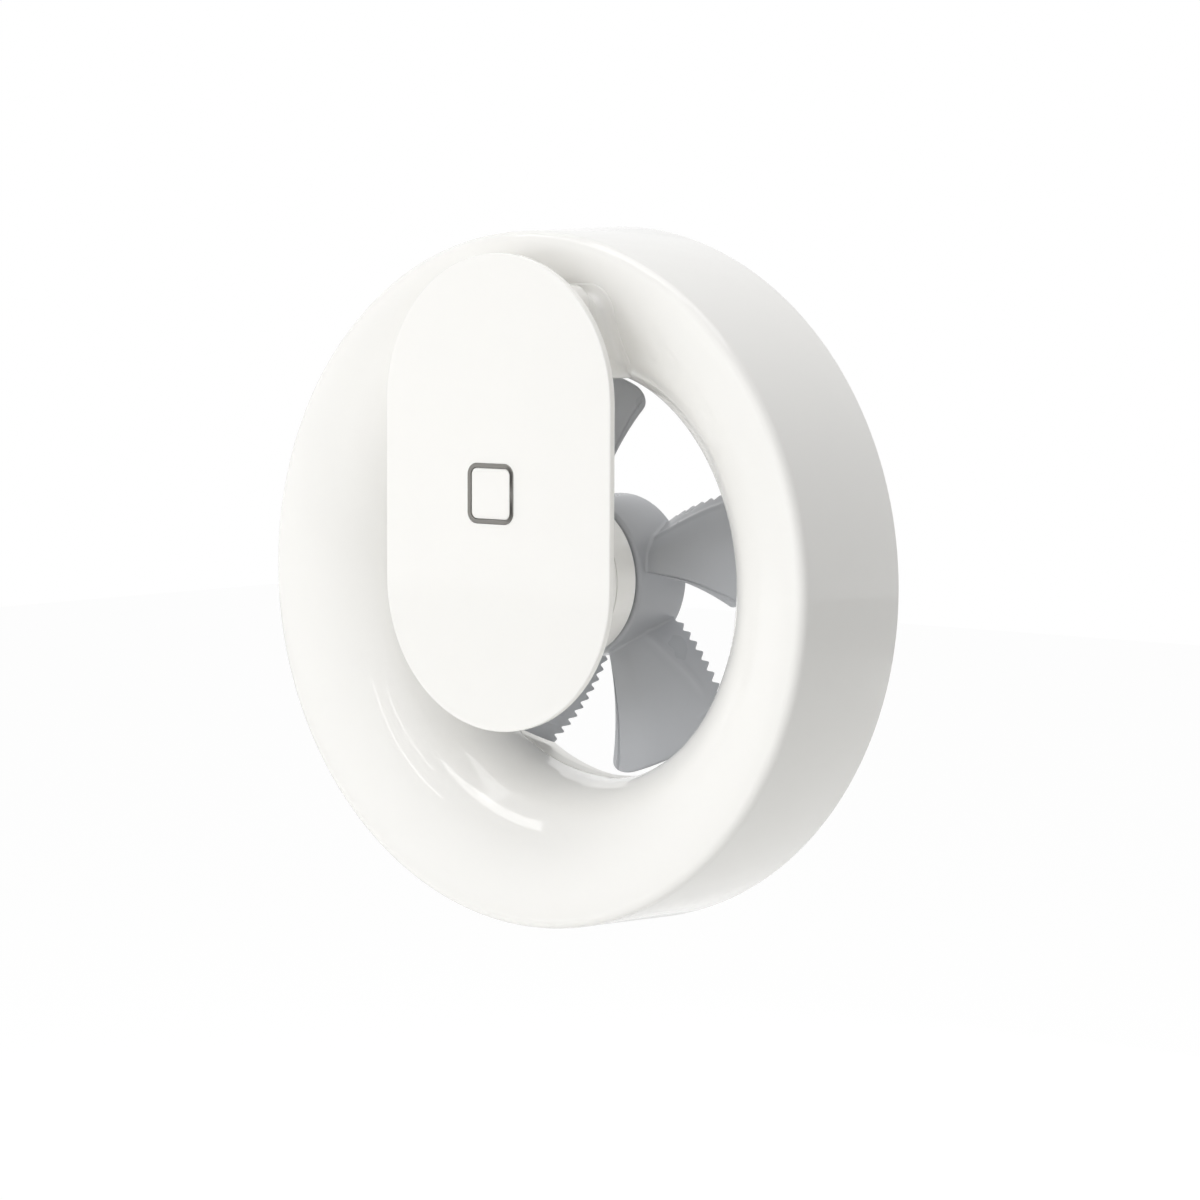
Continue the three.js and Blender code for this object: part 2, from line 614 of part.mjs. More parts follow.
const capLipRadius = motorBore - SEAT;
const stepToNext = 360 / TOOTH_COUNT;
const yokeInner = motorBore - SEAT - STATOR_YOKE;
const shoeOuter = STATOR_BORE + SHOE_THICKNESS;
const motorBoardBackY = motorBoardFrontY + MOTOR_BOARD_THICKNESS;
const statorFrontY = motorBoardBackY + COIL_TO_BOARD + COIL_THICKNESS + SEAT;
const statorBackY = statorFrontY + STATOR_LENGTH;
const magnetOuter = STATOR_BORE - RUNNING_GAP;
const magnetInner = magnetOuter - MAGNET_THICKNESS;
const rotorRange = [statorFrontY - ROTOR_OVERHANG, statorBackY + ROTOR_OVERHANG];
const shaftFrontY = trayBackY + SEAT;
const clipFrontY = hubFrontY + HUB_WALL + HUB_BOSS_LENGTH + SEAT;
const shaftBackY = clipFrontY + CLIP_THICKNESS + SHAFT_END;

function motorRearCap() {
  const capFrontY = seamY + SEAT;
  const wallFrontY = motorBackY - MOTOR_WALL;
  const bearingFrontY = wallFrontY - BEARING_WIDTH - SEAT;
  const lipInner = capLipRadius - MOTOR_WALL;
  const outline = [
    [shaftHole + SEAT, motorBackY],
    [MOTOR_RADIUS, motorBackY],
    [MOTOR_RADIUS, capFrontY],
    [capLipRadius, capFrontY],
    [capLipRadius, capFrontY - CAP_LIP],
    [lipInner, capFrontY - CAP_LIP],
    [lipInner, wallFrontY],
    [BEARING_BOSS_RADIUS, wallFrontY],
    [BEARING_BOSS_RADIUS, bearingFrontY],
    [bearingBore, bearingFrontY],
    [bearingBore, wallFrontY],
    [shaftHole + SEAT, wallFrontY],
  ];
  return turned(outline, MOTOR_SIDES);
}

function bearing(frontY) {
  return tube(BEARING_RADIUS, shaftHole, frontY, frontY + BEARING_WIDTH, SMALL_SIDES);
}

function toothRange(extra) {
  return [-(TOOTH_WIDTH / 2 + extra), TOOTH_WIDTH / 2 + extra];
}

function statorCore() {
  const yoke = tube(motorBore - SEAT, yokeInner, statorFrontY, statorBackY, INNER_SIDES);
  let core = tube(shoeOuter, STATOR_BORE, statorFrontY, statorBackY, INNER_SIDES);
  const gap = block(
    [-SHOE_GAP / 2, SHOE_GAP / 2], [statorFrontY - OVERCUT, statorBackY + OVERCUT], [0, yokeInner]);
  for (let i = 0; i < TOOTH_COUNT; i += 1) {
    core = core.subtract(gap.rotate([0, stepToNext * (i + 0.5), 0]));
  }
  const tooth = block(
    toothRange(0), [statorFrontY, statorBackY],
    [shoeOuter - SHOE_THICKNESS / 2, yokeInner + STATOR_YOKE / 2]);
  core = core.add(yoke);
  for (let i = 0; i < TOOTH_COUNT; i += 1) {
    core = core.add(tooth.rotate([0, stepToNext * i, 0]));
  }
  return core;
}

function statorCoil(index) {
  const halfWidth = TOOTH_WIDTH / 2 + SEAT + COIL_THICKNESS;
  const reach = Math.sqrt((yokeInner - 2 * SEAT) ** 2 - halfWidth ** 2);
  const alongTooth = [shoeOuter + SEAT, reach];
  const outerY = [statorFrontY - SEAT - COIL_THICKNESS, statorBackY + SEAT + COIL_THICKNESS];
  const winding = block(toothRange(SEAT + COIL_THICKNESS), outerY, alongTooth);
  const core = block(
    toothRange(SEAT), [statorFrontY - SEAT, statorBackY + SEAT], [0, yokeInner]);
  return winding.subtract(core).rotate([0, stepToNext * index, 0]);
}

function motorBoard() {
  const outer = motorBore - MOTOR_BOARD_RIM_GAP;
  const inner = BEARING_BOSS_RADIUS + SEAT;
  return tube(outer, inner, motorBoardFrontY, motorBoardBackY, INNER_SIDES);
}

// ---- impeller -----------------------------------------------------------------------------------

// One blade between its smooth leading edge in front and its saw-toothed trailing edge behind. A
// point is set by its share of the chord and its radius. The angle runs straight from edge to edge.
// The depth follows a low power of the chord share plus a high one that hooks the trailing edge
// towards the axis direction. At every other row, a notch, the blade ends short of the full chord.
function blade() {
  const rootRadius = HUB_RADIUS - HUB_WALL / 2;
  const tipRadius = BORE_RADIUS - TIP_GAP;
  const chordShares = [0, 0.07, 0.25, 0.6, 0.86, 1];
  const mix = THREE.MathUtils.lerp;
  const firstNotch = HUB_RADIUS + SERRATION_START;
  const lastTooth = tipRadius - SERRATION_END;
  const serrationRows = 2 * SERRATION_COUNT;
  const halfPitches = Array.from({ length: serrationRows }, (_, i) =>
    mix(firstNotch, lastTooth, i / (serrationRows - 1)));
  const rowRadii = [rootRadius, ...halfPitches, tipRadius];
  const frontY = hubFrontY + BLADE_SETBACK;
  const backY = HUB_BACK - BLADE_SHORT;

  function tipAt(chord) {
    const near = Math.max(0, 1 - chord / TIP_CORNER_SHARE);
    return tipRadius - TIP_CORNER_DROP * (1 - Math.sqrt(1 - near * near));
  }

  function point(chord, row, side) {
    const span = (rowRadii[row] - rootRadius) / (tipRadius - rootRadius);
    const radius = mix(rootRadius, tipAt(chord), span);
    const out = (radius - HUB_RADIUS) / (tipRadius - HUB_RADIUS);
    const notched = chord === 1 && row % 2 === 1;
    const share = notched ? 1 - SERRATION_SHARE : chord;
    const leading = mix(LEADING_ROOT_ANGLE, LEADING_TIP_ANGLE, out);
    const trailing = mix(TRAILING_ROOT_ANGLE, TRAILING_TIP_ANGLE, out);
    const angle = degrees(mix(leading, trailing, share));
    const rise = CAMBER_SHARE * share ** CAMBER_POWER + (1 - CAMBER_SHARE) * share ** HOOK_POWER;
    const depth = mix(frontY, backY, rise);
    const swelling = 0.65 + 0.35 * Math.sin(Math.PI * chord);
    const half = side * (BLADE_THICKNESS / 2) * swelling;
    const steep = share ** HOOK_POWER;
    const turn = (half * steep) / radius;
    return [
      radius * Math.cos(angle - turn),
      depth + half * (1 - steep),
      radius * Math.sin(angle - turn),
    ];
  }

  const columns = chordShares.length;
  const rows = rowRadii.length;
  const vertices = [];
  for (const side of [-1, 1]) {
    for (let j = 0; j < rows; j += 1) {
      for (const chord of chordShares) vertices.push(...point(chord, j, side));
    }
  }
  const at = (side, j, i) => side * rows * columns + j * columns + i;
  const faces = [];
  const quad = (a, b, c, d) => faces.push(a, b, c, a, c, d);
  for (let j = 0; j < rows - 1; j += 1) {
    for (let i = 0; i < columns - 1; i += 1) {
      quad(at(0, j, i), at(0, j + 1, i), at(0, j + 1, i + 1), at(0, j, i + 1));
      quad(at(1, j, i), at(1, j, i + 1), at(1, j + 1, i + 1), at(1, j + 1, i));
    }
    quad(at(0, j, 0), at(1, j, 0), at(1, j + 1, 0), at(0, j + 1, 0));
    const last = columns - 1;
    quad(at(0, j, last), at(0, j + 1, last), at(1, j + 1, last), at(1, j, last));
  }
  const tip = rows - 1;
  for (let i = 0; i < columns - 1; i += 1) {
    quad(at(0, 0, i), at(0, 0, i + 1), at(1, 0, i + 1), at(1, 0, i));
    quad(at(0, tip, i), at(1, tip, i), at(1, tip, i + 1), at(0, tip, i + 1));
  }
  const geometry = new THREE.BufferGeometry();
  geometry.setAttribute('position', new THREE.Float32BufferAttribute(vertices, 3));
  geometry.setIndex(faces);
  return solid(geometry);
}

const bushRadius = shaftHole + BUSH_WALL;

function impeller() {
  const webBackY = hubFrontY + HUB_WALL;
  const bossBackY = webBackY + HUB_BOSS_LENGTH;
  const inner = HUB_RADIUS - HUB_WALL;
  const hub = turned([
    [bushRadius + SEAT, hubFrontY],
    [HUB_RADIUS - HUB_EDGE, hubFrontY],
    [HUB_RADIUS, hubFrontY + HUB_EDGE],
    [HUB_RADIUS, HUB_BACK],
    [inner, HUB_BACK],
    [inner, webBackY],
    [HUB_BOSS_RADIUS, webBackY],
    [HUB_BOSS_RADIUS, bossBackY],
    [bushRadius + SEAT, bossBackY],
  ], MOTOR_SIDES);
  const rib = block([-HUB_RIB_THICKNESS / 2, HUB_RIB_THICKNESS / 2],
    [webBackY - HUB_WALL / 2, webBackY + HUB_RIB_DEPTH],
    [(bushRadius + HUB_BOSS_RADIUS) / 2 + SEAT, inner + HUB_WALL / 2]);
  const oneBlade = blade();
  let wheel = hub;
  for (let i = 0; i < HUB_RIB_COUNT; i += 1) {
    wheel = wheel.add(rib.rotate([0, (360 / HUB_RIB_COUNT) * i, 0]));
  }
  for (let i = 0; i < BLADE_COUNT; i += 1) {
    wheel = wheel.add(oneBlade.rotate([0, (360 / BLADE_COUNT) * i, 0]));
  }
  return wheel;
}

function impellerBush() {
  return tube(bushRadius, shaftHole, hubFrontY + SEAT, clipFrontY - SEAT, SMALL_SIDES);
}

function impellerClip() {
  return tube(CLIP_RADIUS, shaftHole, clipFrontY, clipFrontY + CLIP_THICKNESS, SMALL_SIDES);
}

// ---- cover plate and button ---------------------------------------------------------------------

const coverStraight = COVER_HALF_HEIGHT - COVER_HALF_WIDTH;

// A stadium solid between two crowned faces. share is the distance from the stadium's middle line
// as a part of its half width, and the crown falls off with its square.
function crownedStadium(halfWidth, frontRimY, backRimY, frontCrown, backCrown) {
  const shares = [1, 0.75, 0.5, 0.25, 0];
  const arcSteps = 18;
  const rim = [];
  for (const [end, start] of [[1, 0], [-1, Math.PI]]) {
    for (let i = 0; i <= arcSteps; i += 1) {
      const turn = start + (Math.PI * i) / arcSteps;
      rim.push([Math.cos(turn), Math.sin(turn), end * coverStraight]);
    }
  }
  const vertices = [];
  const rings = [];
  function addRing(share, y) {
    rings.push(rim.map(([cos, sin, middle]) => {
      vertices.push(share * halfWidth * cos, y, COVER_CENTRE_Z + middle + share * halfWidth * sin);
      return vertices.length / 3 - 1;
    }));
  }
  for (const share of [...shares].reverse()) addRing(share, frontRimY - frontCrown * (1 - share * share));
  for (const share of shares) addRing(share, backRimY - backCrown * (1 - share * share));
  const faces = [];
  const count = rim.length;
  for (let k = 0; k < rings.length - 1; k += 1) {
    for (let i = 0; i < count; i += 1) {
      const next = (i + 1) % count;
      faces.push(rings[k][i], rings[k][next], rings[k + 1][next]);
      faces.push(rings[k][i], rings[k + 1][next], rings[k + 1][i]);
    }
  }
  const geometry = new THREE.BufferGeometry();
  geometry.setAttribute('position', new THREE.Float32BufferAttribute(vertices, 3));
  geometry.setIndex(faces);
  return solid(geometry);
}

function square(size, corner) {
  return roundedRectangle(size, size, corner, 0, COVER_CENTRE_Z);
}

const buttonFlangeFrontY = coverMiddleBackY + SEAT;
const buttonFlangeBackY = buttonFlangeFrontY + BUTTON_FLANGE_THICKNESS;
const plungerBackY = controlBoardFrontY - SWITCH_HEIGHT + PLUNGER_DEPTH;
const plungerFrontY = plungerBackY - PLUNGER_LENGTH;

function coverPlate() {
  const gap = 2 * INLAY_GAP;
  const corner = FRAME_CORNER + INLAY_GAP;
  const hole = slab(square(FRAME_SIZE + gap, corner), coverMiddleFrontY - OVERCUT, 0);
  let plate = crownedStadium(
    COVER_HALF_WIDTH, coverRimFrontY, coverRimBackY, COVER_CROWN, COVER_CROWN).subtract(hole);
  const frontOfPlate = crownedStadium(
    COVER_HALF_WIDTH, coverRimFrontY - 2 * COVER_CROWN, coverRimFrontY + COVER_THICKNESS / 2,
    COVER_CROWN, COVER_CROWN);
  for (const [x, z] of postPlaces) {
    const post = rod(POST_RADIUS, coverMiddleFrontY, postEndY, x, z, SCREW_SIDES);
    plate = plate.add(post.subtract(frontOfPlate));
  }
  return plate;
}

function buttonFrame() {
  const frontY = coverMiddleFrontY - FRAME_PROUD;
  const backY = coverMiddleBackY;
  const outer = slab(square(FRAME_SIZE, FRAME_CORNER), frontY, backY);
  const inner = square(FRAME_SIZE - 2 * FRAME_LINE, FRAME_CORNER - FRAME_LINE);
  return outer.subtract(slab(inner, frontY - OVERCUT, backY + OVERCUT));
}

function pushButton() {
  const side = FRAME_SIZE - 2 * (FRAME_LINE + INLAY_GAP);
  const corner = FRAME_CORNER - FRAME_LINE - INLAY_GAP;
  const pad = slab(square(side, corner), coverMiddleFrontY, buttonFlangeBackY);
  const flange = slab(square(BUTTON_FLANGE, FRAME_CORNER), buttonFlangeFrontY, buttonFlangeBackY);
  const stem = rod(
    BUTTON_STEM_RADIUS, buttonFlangeFrontY, plungerFrontY - SEAT, 0, COVER_CENTRE_Z, SCREW_SIDES);
  return joined(pad, flange, stem);
}

// ---- control board ------------------------------------------------------------------------------

// A box that stands on a board's front face.
function chip(boardFrontY, { width, height, thickness, x, z }) {
  const [halfX, halfZ] = [width / 2, height / 2];
  return block([x - halfX, x + halfX], [boardFrontY - thickness, boardFrontY], [z - halfZ, z + halfZ]);
}

// A board with a drilling for each of its screws.
function board(halfWidth, bottom, top, frontY, backY, screwPlaces) {
  const outline = roundedRectangle(halfWidth * 2, top - bottom, BOARD_CORNER, 0, (top + bottom) / 2);
  const drills = screwPlaces.map(([x, z]) =>
    rod(smallHoleRadius, frontY - OVERCUT, backY + OVERCUT, x, z, SCREW_SIDES));
  return cut(slab(outline, frontY, backY, 2), ...drills);
}

function controlBoard() {
  return board(CONTROL_BOARD_HALF_WIDTH, CONTROL_BOARD_BOTTOM, controlBoardTop,
    controlBoardFrontY, controlBoardBackY, boardScrewPlaces);
}

function switchBody() {
  const size = { width: SWITCH_SIZE, height: SWITCH_SIZE, thickness: SWITCH_HEIGHT };
  const body = chip(controlBoardFrontY, { ...size, x: 0, z: COVER_CENTRE_Z });
  const wellBackY = plungerBackY + BUTTON_TRAVEL + SEAT;
  const wellFrontY = controlBoardFrontY - SWITCH_HEIGHT - OVERCUT;
  return body.subtract(rod(PLUNGER_RADIUS + SEAT, wellFrontY, wellBackY, 0, COVER_CENTRE_Z));
}

// ---- power board and cable entry ----------------------------------------------------------------

function powerBoard() {
  return board(POWER_BOARD_HALF_WIDTH, powerBoardBottom, powerBoardTop,
    powerBoardFrontY, powerBoardBackY, powerScrewPlaces);
}

function capacitor() {
  const { radius, length, x } = CAPACITOR;
  const z = powerBoardBottom + CAPACITOR_RISE;
  return rod(radius, powerBoardFrontY - length, powerBoardFrontY, x, z);
}

const terminalFrontY = powerBoardFrontY - TERMINAL_HEIGHT;
const terminalPlaces = Array.from({ length: TERMINAL_COUNT }, (_, i) =>
  TERMINAL_X + (i - (TERMINAL_COUNT - 1) / 2) * TERMINAL_PITCH);

function terminalBlock() {
  const body = chip(powerBoardFrontY, {
    width: TERMINAL_COUNT * TERMINAL_PITCH + 2 * TERMINAL_SIDE_WALL,
    height: TERMINAL_DEPTH,
    thickness: TERMINAL_HEIGHT,
    x: TERMINAL_X,
    z: terminalZ,
  });
  const wellRadius = SMALL_HEAD_RADIUS + SEAT;
  const wells = terminalPlaces.map((x) => rod(
    wellRadius, terminalFrontY - OVERCUT, terminalFrontY + TERMINAL_WELL, x, terminalZ, SCREW_SIDES));
  const { halfWidth, frontDepth, backDepth } = TERMINAL_ENTRY;
  const entries = terminalPlaces.map((x) => block(
    [x - halfWidth, x + halfWidth],
    [terminalFrontY + frontDepth, terminalFrontY + backDepth],
    [terminalZ - TERMINAL_DEPTH, terminalZ]));
  return cut(body, ...wells, ...entries);
}

function terminalScrew(x) {
  const frontY = terminalFrontY + TERMINAL_SCREW_TOP;
  return rod(SMALL_HEAD_RADIUS, frontY, frontY + TERMINAL_SCREW_LENGTH, x, terminalZ, SCREW_SIDES);
}

function cableGrommet() {
  const neck = GROMMET_BORE + GROMMET_WALL;
  const lip = neck + GROMMET_LIP;
  const frontY = wallPlateFrontY - SEAT;
  const outline = [
    [GROMMET_BORE, frontY - GROMMET_LIP],
    [neck, frontY - GROMMET_LIP],
    [lip, frontY],
    [neck, frontY],
    [neck, -SEAT],
    [GROMMET_BORE, -SEAT],
  ];
  return turned(outline, SMALL_SIDES).translate([grommetX, 0, grommetZ]);
}

function cableClamp() {
  const frontY = wallPlateFrontY - CLAMP_HEIGHT;
  const [low, high] = [clampZ - CLAMP_WIDTH / 2, clampZ + CLAMP_WIDTH / 2];
  const bar = block([clampX - CLAMP_HALF_LENGTH, clampX + CLAMP_HALF_LENGTH],
    [frontY, wallPlateFrontY], [low, high]);
  const tunnel = rod(CLAMP_TUNNEL, -CLAMP_WIDTH, CLAMP_WIDTH).rotate([90, 0, 0])
    .translate([clampX, wallPlateFrontY - CLAMP_TUNNEL, clampZ]);
  const slot = block([clampX - CLAMP_TUNNEL, clampX + CLAMP_TUNNEL],
    [wallPlateFrontY - CLAMP_TUNNEL, wallPlateFrontY + OVERCUT], [low - OVERCUT, high + OVERCUT]);
  const drills = clampScrewPlaces.map((x) =>
    rod(smallHoleRadius, frontY - OVERCUT, wallPlateFrontY + OVERCUT, x, clampZ, SCREW_SIDES));
  return cut(bar, tunnel, slot, ...drills);
}

// A round lead along a smooth path through the given points.
function lead(radius, points, steps) {
  const path = new THREE.CatmullRomCurve3(points.map((p) => new THREE.Vector3(...p)));
  const corners = Array.from({ length: LEAD_SIDES }, (_, i) => {
    const turn = (2 * Math.PI * i) / LEAD_SIDES;
    return new THREE.Vector2(radius * Math.cos(turn), radius * Math.sin(turn));
  });
  const section = new THREE.Shape(corners);
  return solid(new THREE.ExtrudeGeometry(section, { extrudePath: path, steps, bevelEnabled: false }));
}

const plugMiddleY = controlBoardFrontY - PLUG.thickness / 2;
const supplyPlugZ = controlBoardTop - PLUG_INSET;
const motorPlugZ = CONTROL_BOARD_BOTTOM + PLUG_INSET;

// From the power board through the window behind the neck, then down the neck's pocket to its plug.
function supplyLead() {
  const mix = THREE.MathUtils.lerp;
  const plugTopZ = supplyPlugZ + PLUG.height / 2 + SEAT;
  const startY = powerBoardFrontY - SEAT;
  const turnY = mix(trayFloorY, neckScrewSeatY, 0.5);
  const bend = [[0.35, 0.08], [0.65, 0.32], [1, 0.55]].map(([forward, down]) => [
    PLUG.x, mix(turnY, plugMiddleY, forward), mix(neckScrewZ, plugTopZ, down)]);
  return lead(SUPPLY_LEAD_RADIUS, [
    [PLUG.x, startY, neckScrewZ],
    [PLUG.x, mix(startY, turnY, 0.35), neckScrewZ],
    [PLUG.x, mix(startY, turnY, 0.7), neckScrewZ],
    [PLUG.x, turnY, neckScrewZ],
    ...bend,
    [PLUG.x, plugMiddleY, plugTopZ],
  ], 16);
}

// From its plug over the lower edge of the control board and through the tray's floor.
function motorLead() {
  const plugBottomZ = motorPlugZ - PLUG.height / 2 - SEAT;
  const overEdgeZ = (plugBottomZ + CONTROL_BOARD_BOTTOM) / 2;
  return lead(MOTOR_LEAD_RADIUS, [
    [PLUG.x, plugMiddleY, plugBottomZ],
    [PLUG.x, plugMiddleY, overEdgeZ],
    [PLUG.x, (plugMiddleY + controlBoardFrontY) / 2, leadHoleZ],
    [PLUG.x, trayFloorY, leadHoleZ],
    [PLUG.x, motorBoardFrontY - SEAT, leadHoleZ],
  ], 10);
}

// ---- materials ----------------------------------------------------------------------------------

function material(color, roughness, metalness) {
  return new THREE.MeshStandardMaterial({ color, roughness, metalness });
}

const glossWhite = material(0xf5f4f0, 0.18, 0);
const warmWhite = material(0xecebe7, 0.4, 0);
const bladeGrey = material(0x94989b, 0.55, 0);
const chrome = material(0xb9b9b6, 0.15, 1);
const steel = material(0xa9abad, 0.35, 1);
const brass = material(0xc8a75a, 0.35, 1);
const copper = material(0xb06a3b, 0.4, 1);
const coreSteel = material(0x5c5f63, 0.5, 1);
const ferrite = material(0x2b2c2e, 0.7, 0);
const boardGreen = material(0x1f5a3c, 0.5, 0);
const chipBlack = material(0x1d1e20, 0.6, 0);
const rubber = material(0x3a3b3d, 0.85, 0);
const foam = material(0x6d6f70, 0.95, 0);
const blueCan = material(0x2c4a78, 0.4, 0);
const connectorWhite = material(0xe4e2da, 0.5, 0);

// ---- assembly -----------------------------------------------------------------------------------

const group = new THREE.Group();

function place(name, body, finish) {
  const mesh = new THREE.Mesh(geometryOf(body), finish);
  mesh.name = name;
  group.add(mesh);
}

place('outer_ring', outerRing(), glossWhite);
place('wall_plate', wallPlate(), warmWhite);
place('wall_gasket', wallGasket(), foam);
place('collar_seal', collarSeal(), rubber);
fixingPlaces.forEach(([x, z], i) => {
  place(`ring_screw_${i + 1}`, screw(-HEAD_HEIGHT, SCREW_LENGTH, x, z), steel);
});

place('control_housing', controlHousing(), glossWhite);
neckScrewPlaces.forEach(([x, z], i) => {
  place(`housing_screw_${i + 1}`, screw(neckScrewSeatY, SCREW_LENGTH, x, z), steel);
});

place('motor_rear_cap', motorRearCap(), warmWhite);
place('stator_core', statorCore(), coreSteel);
for (let i = 0; i < TOOTH_COUNT; i += 1) place(`stator_coil_${i + 1}`, statorCoil(i), copper);
place('motor_board', motorBoard(), boardGreen);
place('front_bearing', bearing(trayBackY), steel);
place('rear_bearing', bearing(motorBackY - MOTOR_WALL - BEARING_WIDTH), steel);
place('motor_shaft', rod(SHAFT_RADIUS, shaftFrontY, shaftBackY), steel);
place('rotor_core', tube(magnetInner - SEAT, shaftHole, ...rotorRange, SMALL_SIDES), coreSteel);
place('rotor_magnet', tube(magnetOuter, magnetInner, ...rotorRange, INNER_SIDES), ferrite);

place('impeller', impeller(), bladeGrey);
place('impeller_bush', impellerBush(), brass);
place('impeller_clip', impellerClip(), steel);

place('cover_plate', coverPlate(), glossWhite);
place('button_frame', buttonFrame(), chrome);
place('push_button', pushButton(), glossWhite);

place('control_board', controlBoard(), boardGreen);
boardScrewPlaces.forEach(([x, z], i) => {
  place(`board_screw_${i + 1}`, smallScrew(controlBoardFrontY, BOARD_SCREW_LENGTH, x, z), steel);
});
place('switch_body', switchBody(), chipBlack);
place('switch_plunger', rod(PLUNGER_RADIUS, plungerFrontY, plungerBackY, 0, COVER_CENTRE_Z), chipBlack);
place('microcontroller', chip(controlBoardFrontY, MICROCONTROLLER), chipBlack);
const wirelessZ = controlBoardTop - WIRELESS_INSET;
place('wireless_module', chip(controlBoardFrontY, { ...WIRELESS_MODULE, z: wirelessZ }), steel);
place('humidity_sensor', chip(controlBoardFrontY, HUMIDITY_SENSOR), connectorWhite);
place('light_sensor', chip(controlBoardFrontY, LIGHT_SENSOR), chipBlack);
place('motor_plug', chip(controlBoardFrontY, { ...PLUG, z: motorPlugZ }), connectorWhite);
place('supply_plug', chip(controlBoardFrontY, { ...PLUG, z: supplyPlugZ }), connectorWhite);

place('power_board', powerBoard(), boardGreen);
powerScrewPlaces.forEach(([x, z], i) => {
  place(`power_board_screw_${i + 1}`, smallScrew(powerBoardFrontY, POWER_SCREW_LENGTH, x, z), steel);
});
const transformerZ = powerBoardBottom + TRANSFORMER_RISE;
place('transformer', chip(powerBoardFrontY, { ...TRANSFORMER, z: transformerZ }), ferrite);
place('capacitor', capacitor(), blueCan);
place('terminal_block', terminalBlock(), connectorWhite);
terminalPlaces.forEach((x, i) => place(`terminal_screw_${i + 1}`, terminalScrew(x), brass));
place('cable_grommet', cableGrommet(), rubber);
place('cable_clamp', cableClamp(), warmWhite);
clampScrewPlaces.forEach((x, i) => {
  const seatY = wallPlateFrontY - CLAMP_HEIGHT;
  place(`clamp_screw_${i + 1}`, smallScrew(seatY, CLAMP_SCREW_LENGTH, x, clampZ), steel);
});
place('supply_lead', supplyLead(), rubber);
place('motor_lead', motorLead(), rubber);

export default group;
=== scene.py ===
"""A round wall-mounted extractor fan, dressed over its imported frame.

Metres, +Z up. The wall is the plane y = 0, the front faces -Y, and the impeller turns about the Y
axis. A new piece stands for a node of the frame and rides on that node's body.
"""

import json

import bmesh
import bpy
import numpy as np
from mathutils import Matrix, Vector


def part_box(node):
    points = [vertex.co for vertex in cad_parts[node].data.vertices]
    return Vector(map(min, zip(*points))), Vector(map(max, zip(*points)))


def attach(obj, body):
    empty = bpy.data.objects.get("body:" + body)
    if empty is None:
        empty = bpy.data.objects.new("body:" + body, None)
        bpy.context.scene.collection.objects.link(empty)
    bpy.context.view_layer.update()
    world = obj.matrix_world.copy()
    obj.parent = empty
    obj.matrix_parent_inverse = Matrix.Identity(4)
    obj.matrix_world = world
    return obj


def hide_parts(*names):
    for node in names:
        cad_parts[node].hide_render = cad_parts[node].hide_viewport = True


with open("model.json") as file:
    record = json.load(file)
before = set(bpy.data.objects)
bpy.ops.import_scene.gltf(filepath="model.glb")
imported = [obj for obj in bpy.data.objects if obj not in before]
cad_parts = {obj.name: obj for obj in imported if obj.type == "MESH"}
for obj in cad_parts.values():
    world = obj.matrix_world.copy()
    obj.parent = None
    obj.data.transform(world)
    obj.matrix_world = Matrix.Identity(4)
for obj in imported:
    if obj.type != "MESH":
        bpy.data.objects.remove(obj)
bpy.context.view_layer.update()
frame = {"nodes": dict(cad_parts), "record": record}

MM = 0.001

# ---- sizes: from the frame where it shows them, otherwise as the construction has them ------------

ring_low, ring_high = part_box("outer_ring")
_, plate_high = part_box("wall_plate")
cover_low, cover_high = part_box("cover_plate")
frame_low, frame_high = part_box("button_frame")
_, button_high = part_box("push_button")
housing_low, housing_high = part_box("control_housing")
_, cap_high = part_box("motor_rear_cap")
wheel_low, wheel_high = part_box("impeller")

FIT = 0.3 * MM  # the gap between pieces that go together
EASED = 0.4 * MM  # an ordinary eased edge

# outer ring
RING_RADIUS = ring_high[0]
RING_FRONT = ring_low[1]
RING_WALL = 2.4 * MM
SKIRT_DRAFT = 1.7 * MM
LIP_RADIUS = 2.9 * MM
BORE_RADIUS = 60 * MM
BORE_END = ring_high[1] - 4 * MM
MOUTH_WIDTH = RING_RADIUS - SKIRT_DRAFT - LIP_RADIUS - BORE_RADIUS
MOUTH_DEPTH = 32 * MM

# wall plate, collar, gasket and seal
PLATE_FRONT = -2.5 * MM
PLATE_RADIUS = plate_high[0]
COLLAR_FRONT = BORE_END + FIT
COLLAR_END = plate_high[1]
COLLAR_RADIUS = BORE_RADIUS + 2.4 * MM
COLLAR_TAPER = 1.7 * MM
GROOVE_INNER = 63.5 * MM
GROOVE_OUTER = 69.5 * MM
GROOVE_DEPTH = 1.2 * MM
SEAL_LOW, SEAL_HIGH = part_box("collar_seal")
WALL_HOLE_CIRCLE = 81 * MM
WALL_HOLE_RADIUS = 2.3 * MM
WALL_HOLE_ANGLES = (25, 155, 205, 335)
FIXING_CIRCLE = RING_RADIUS - 10 * MM
FIXING_ANGLES = (45, 135, 225, 315)
FIXING_WELL_RADIUS = 3.4 * MM
SCREW_HEAD_RADIUS = 2.8 * MM
SCREW_HEAD_HEIGHT = 1.7 * MM
SCREW_SHANK_RADIUS = 1.5 * MM
CROSS_REACH, CROSS_HALF_WIDTH, CROSS_DEPTH = 1.6 * MM, 0.45 * MM, 0.8 * MM
CABLE_HOLE = 5.9 * MM

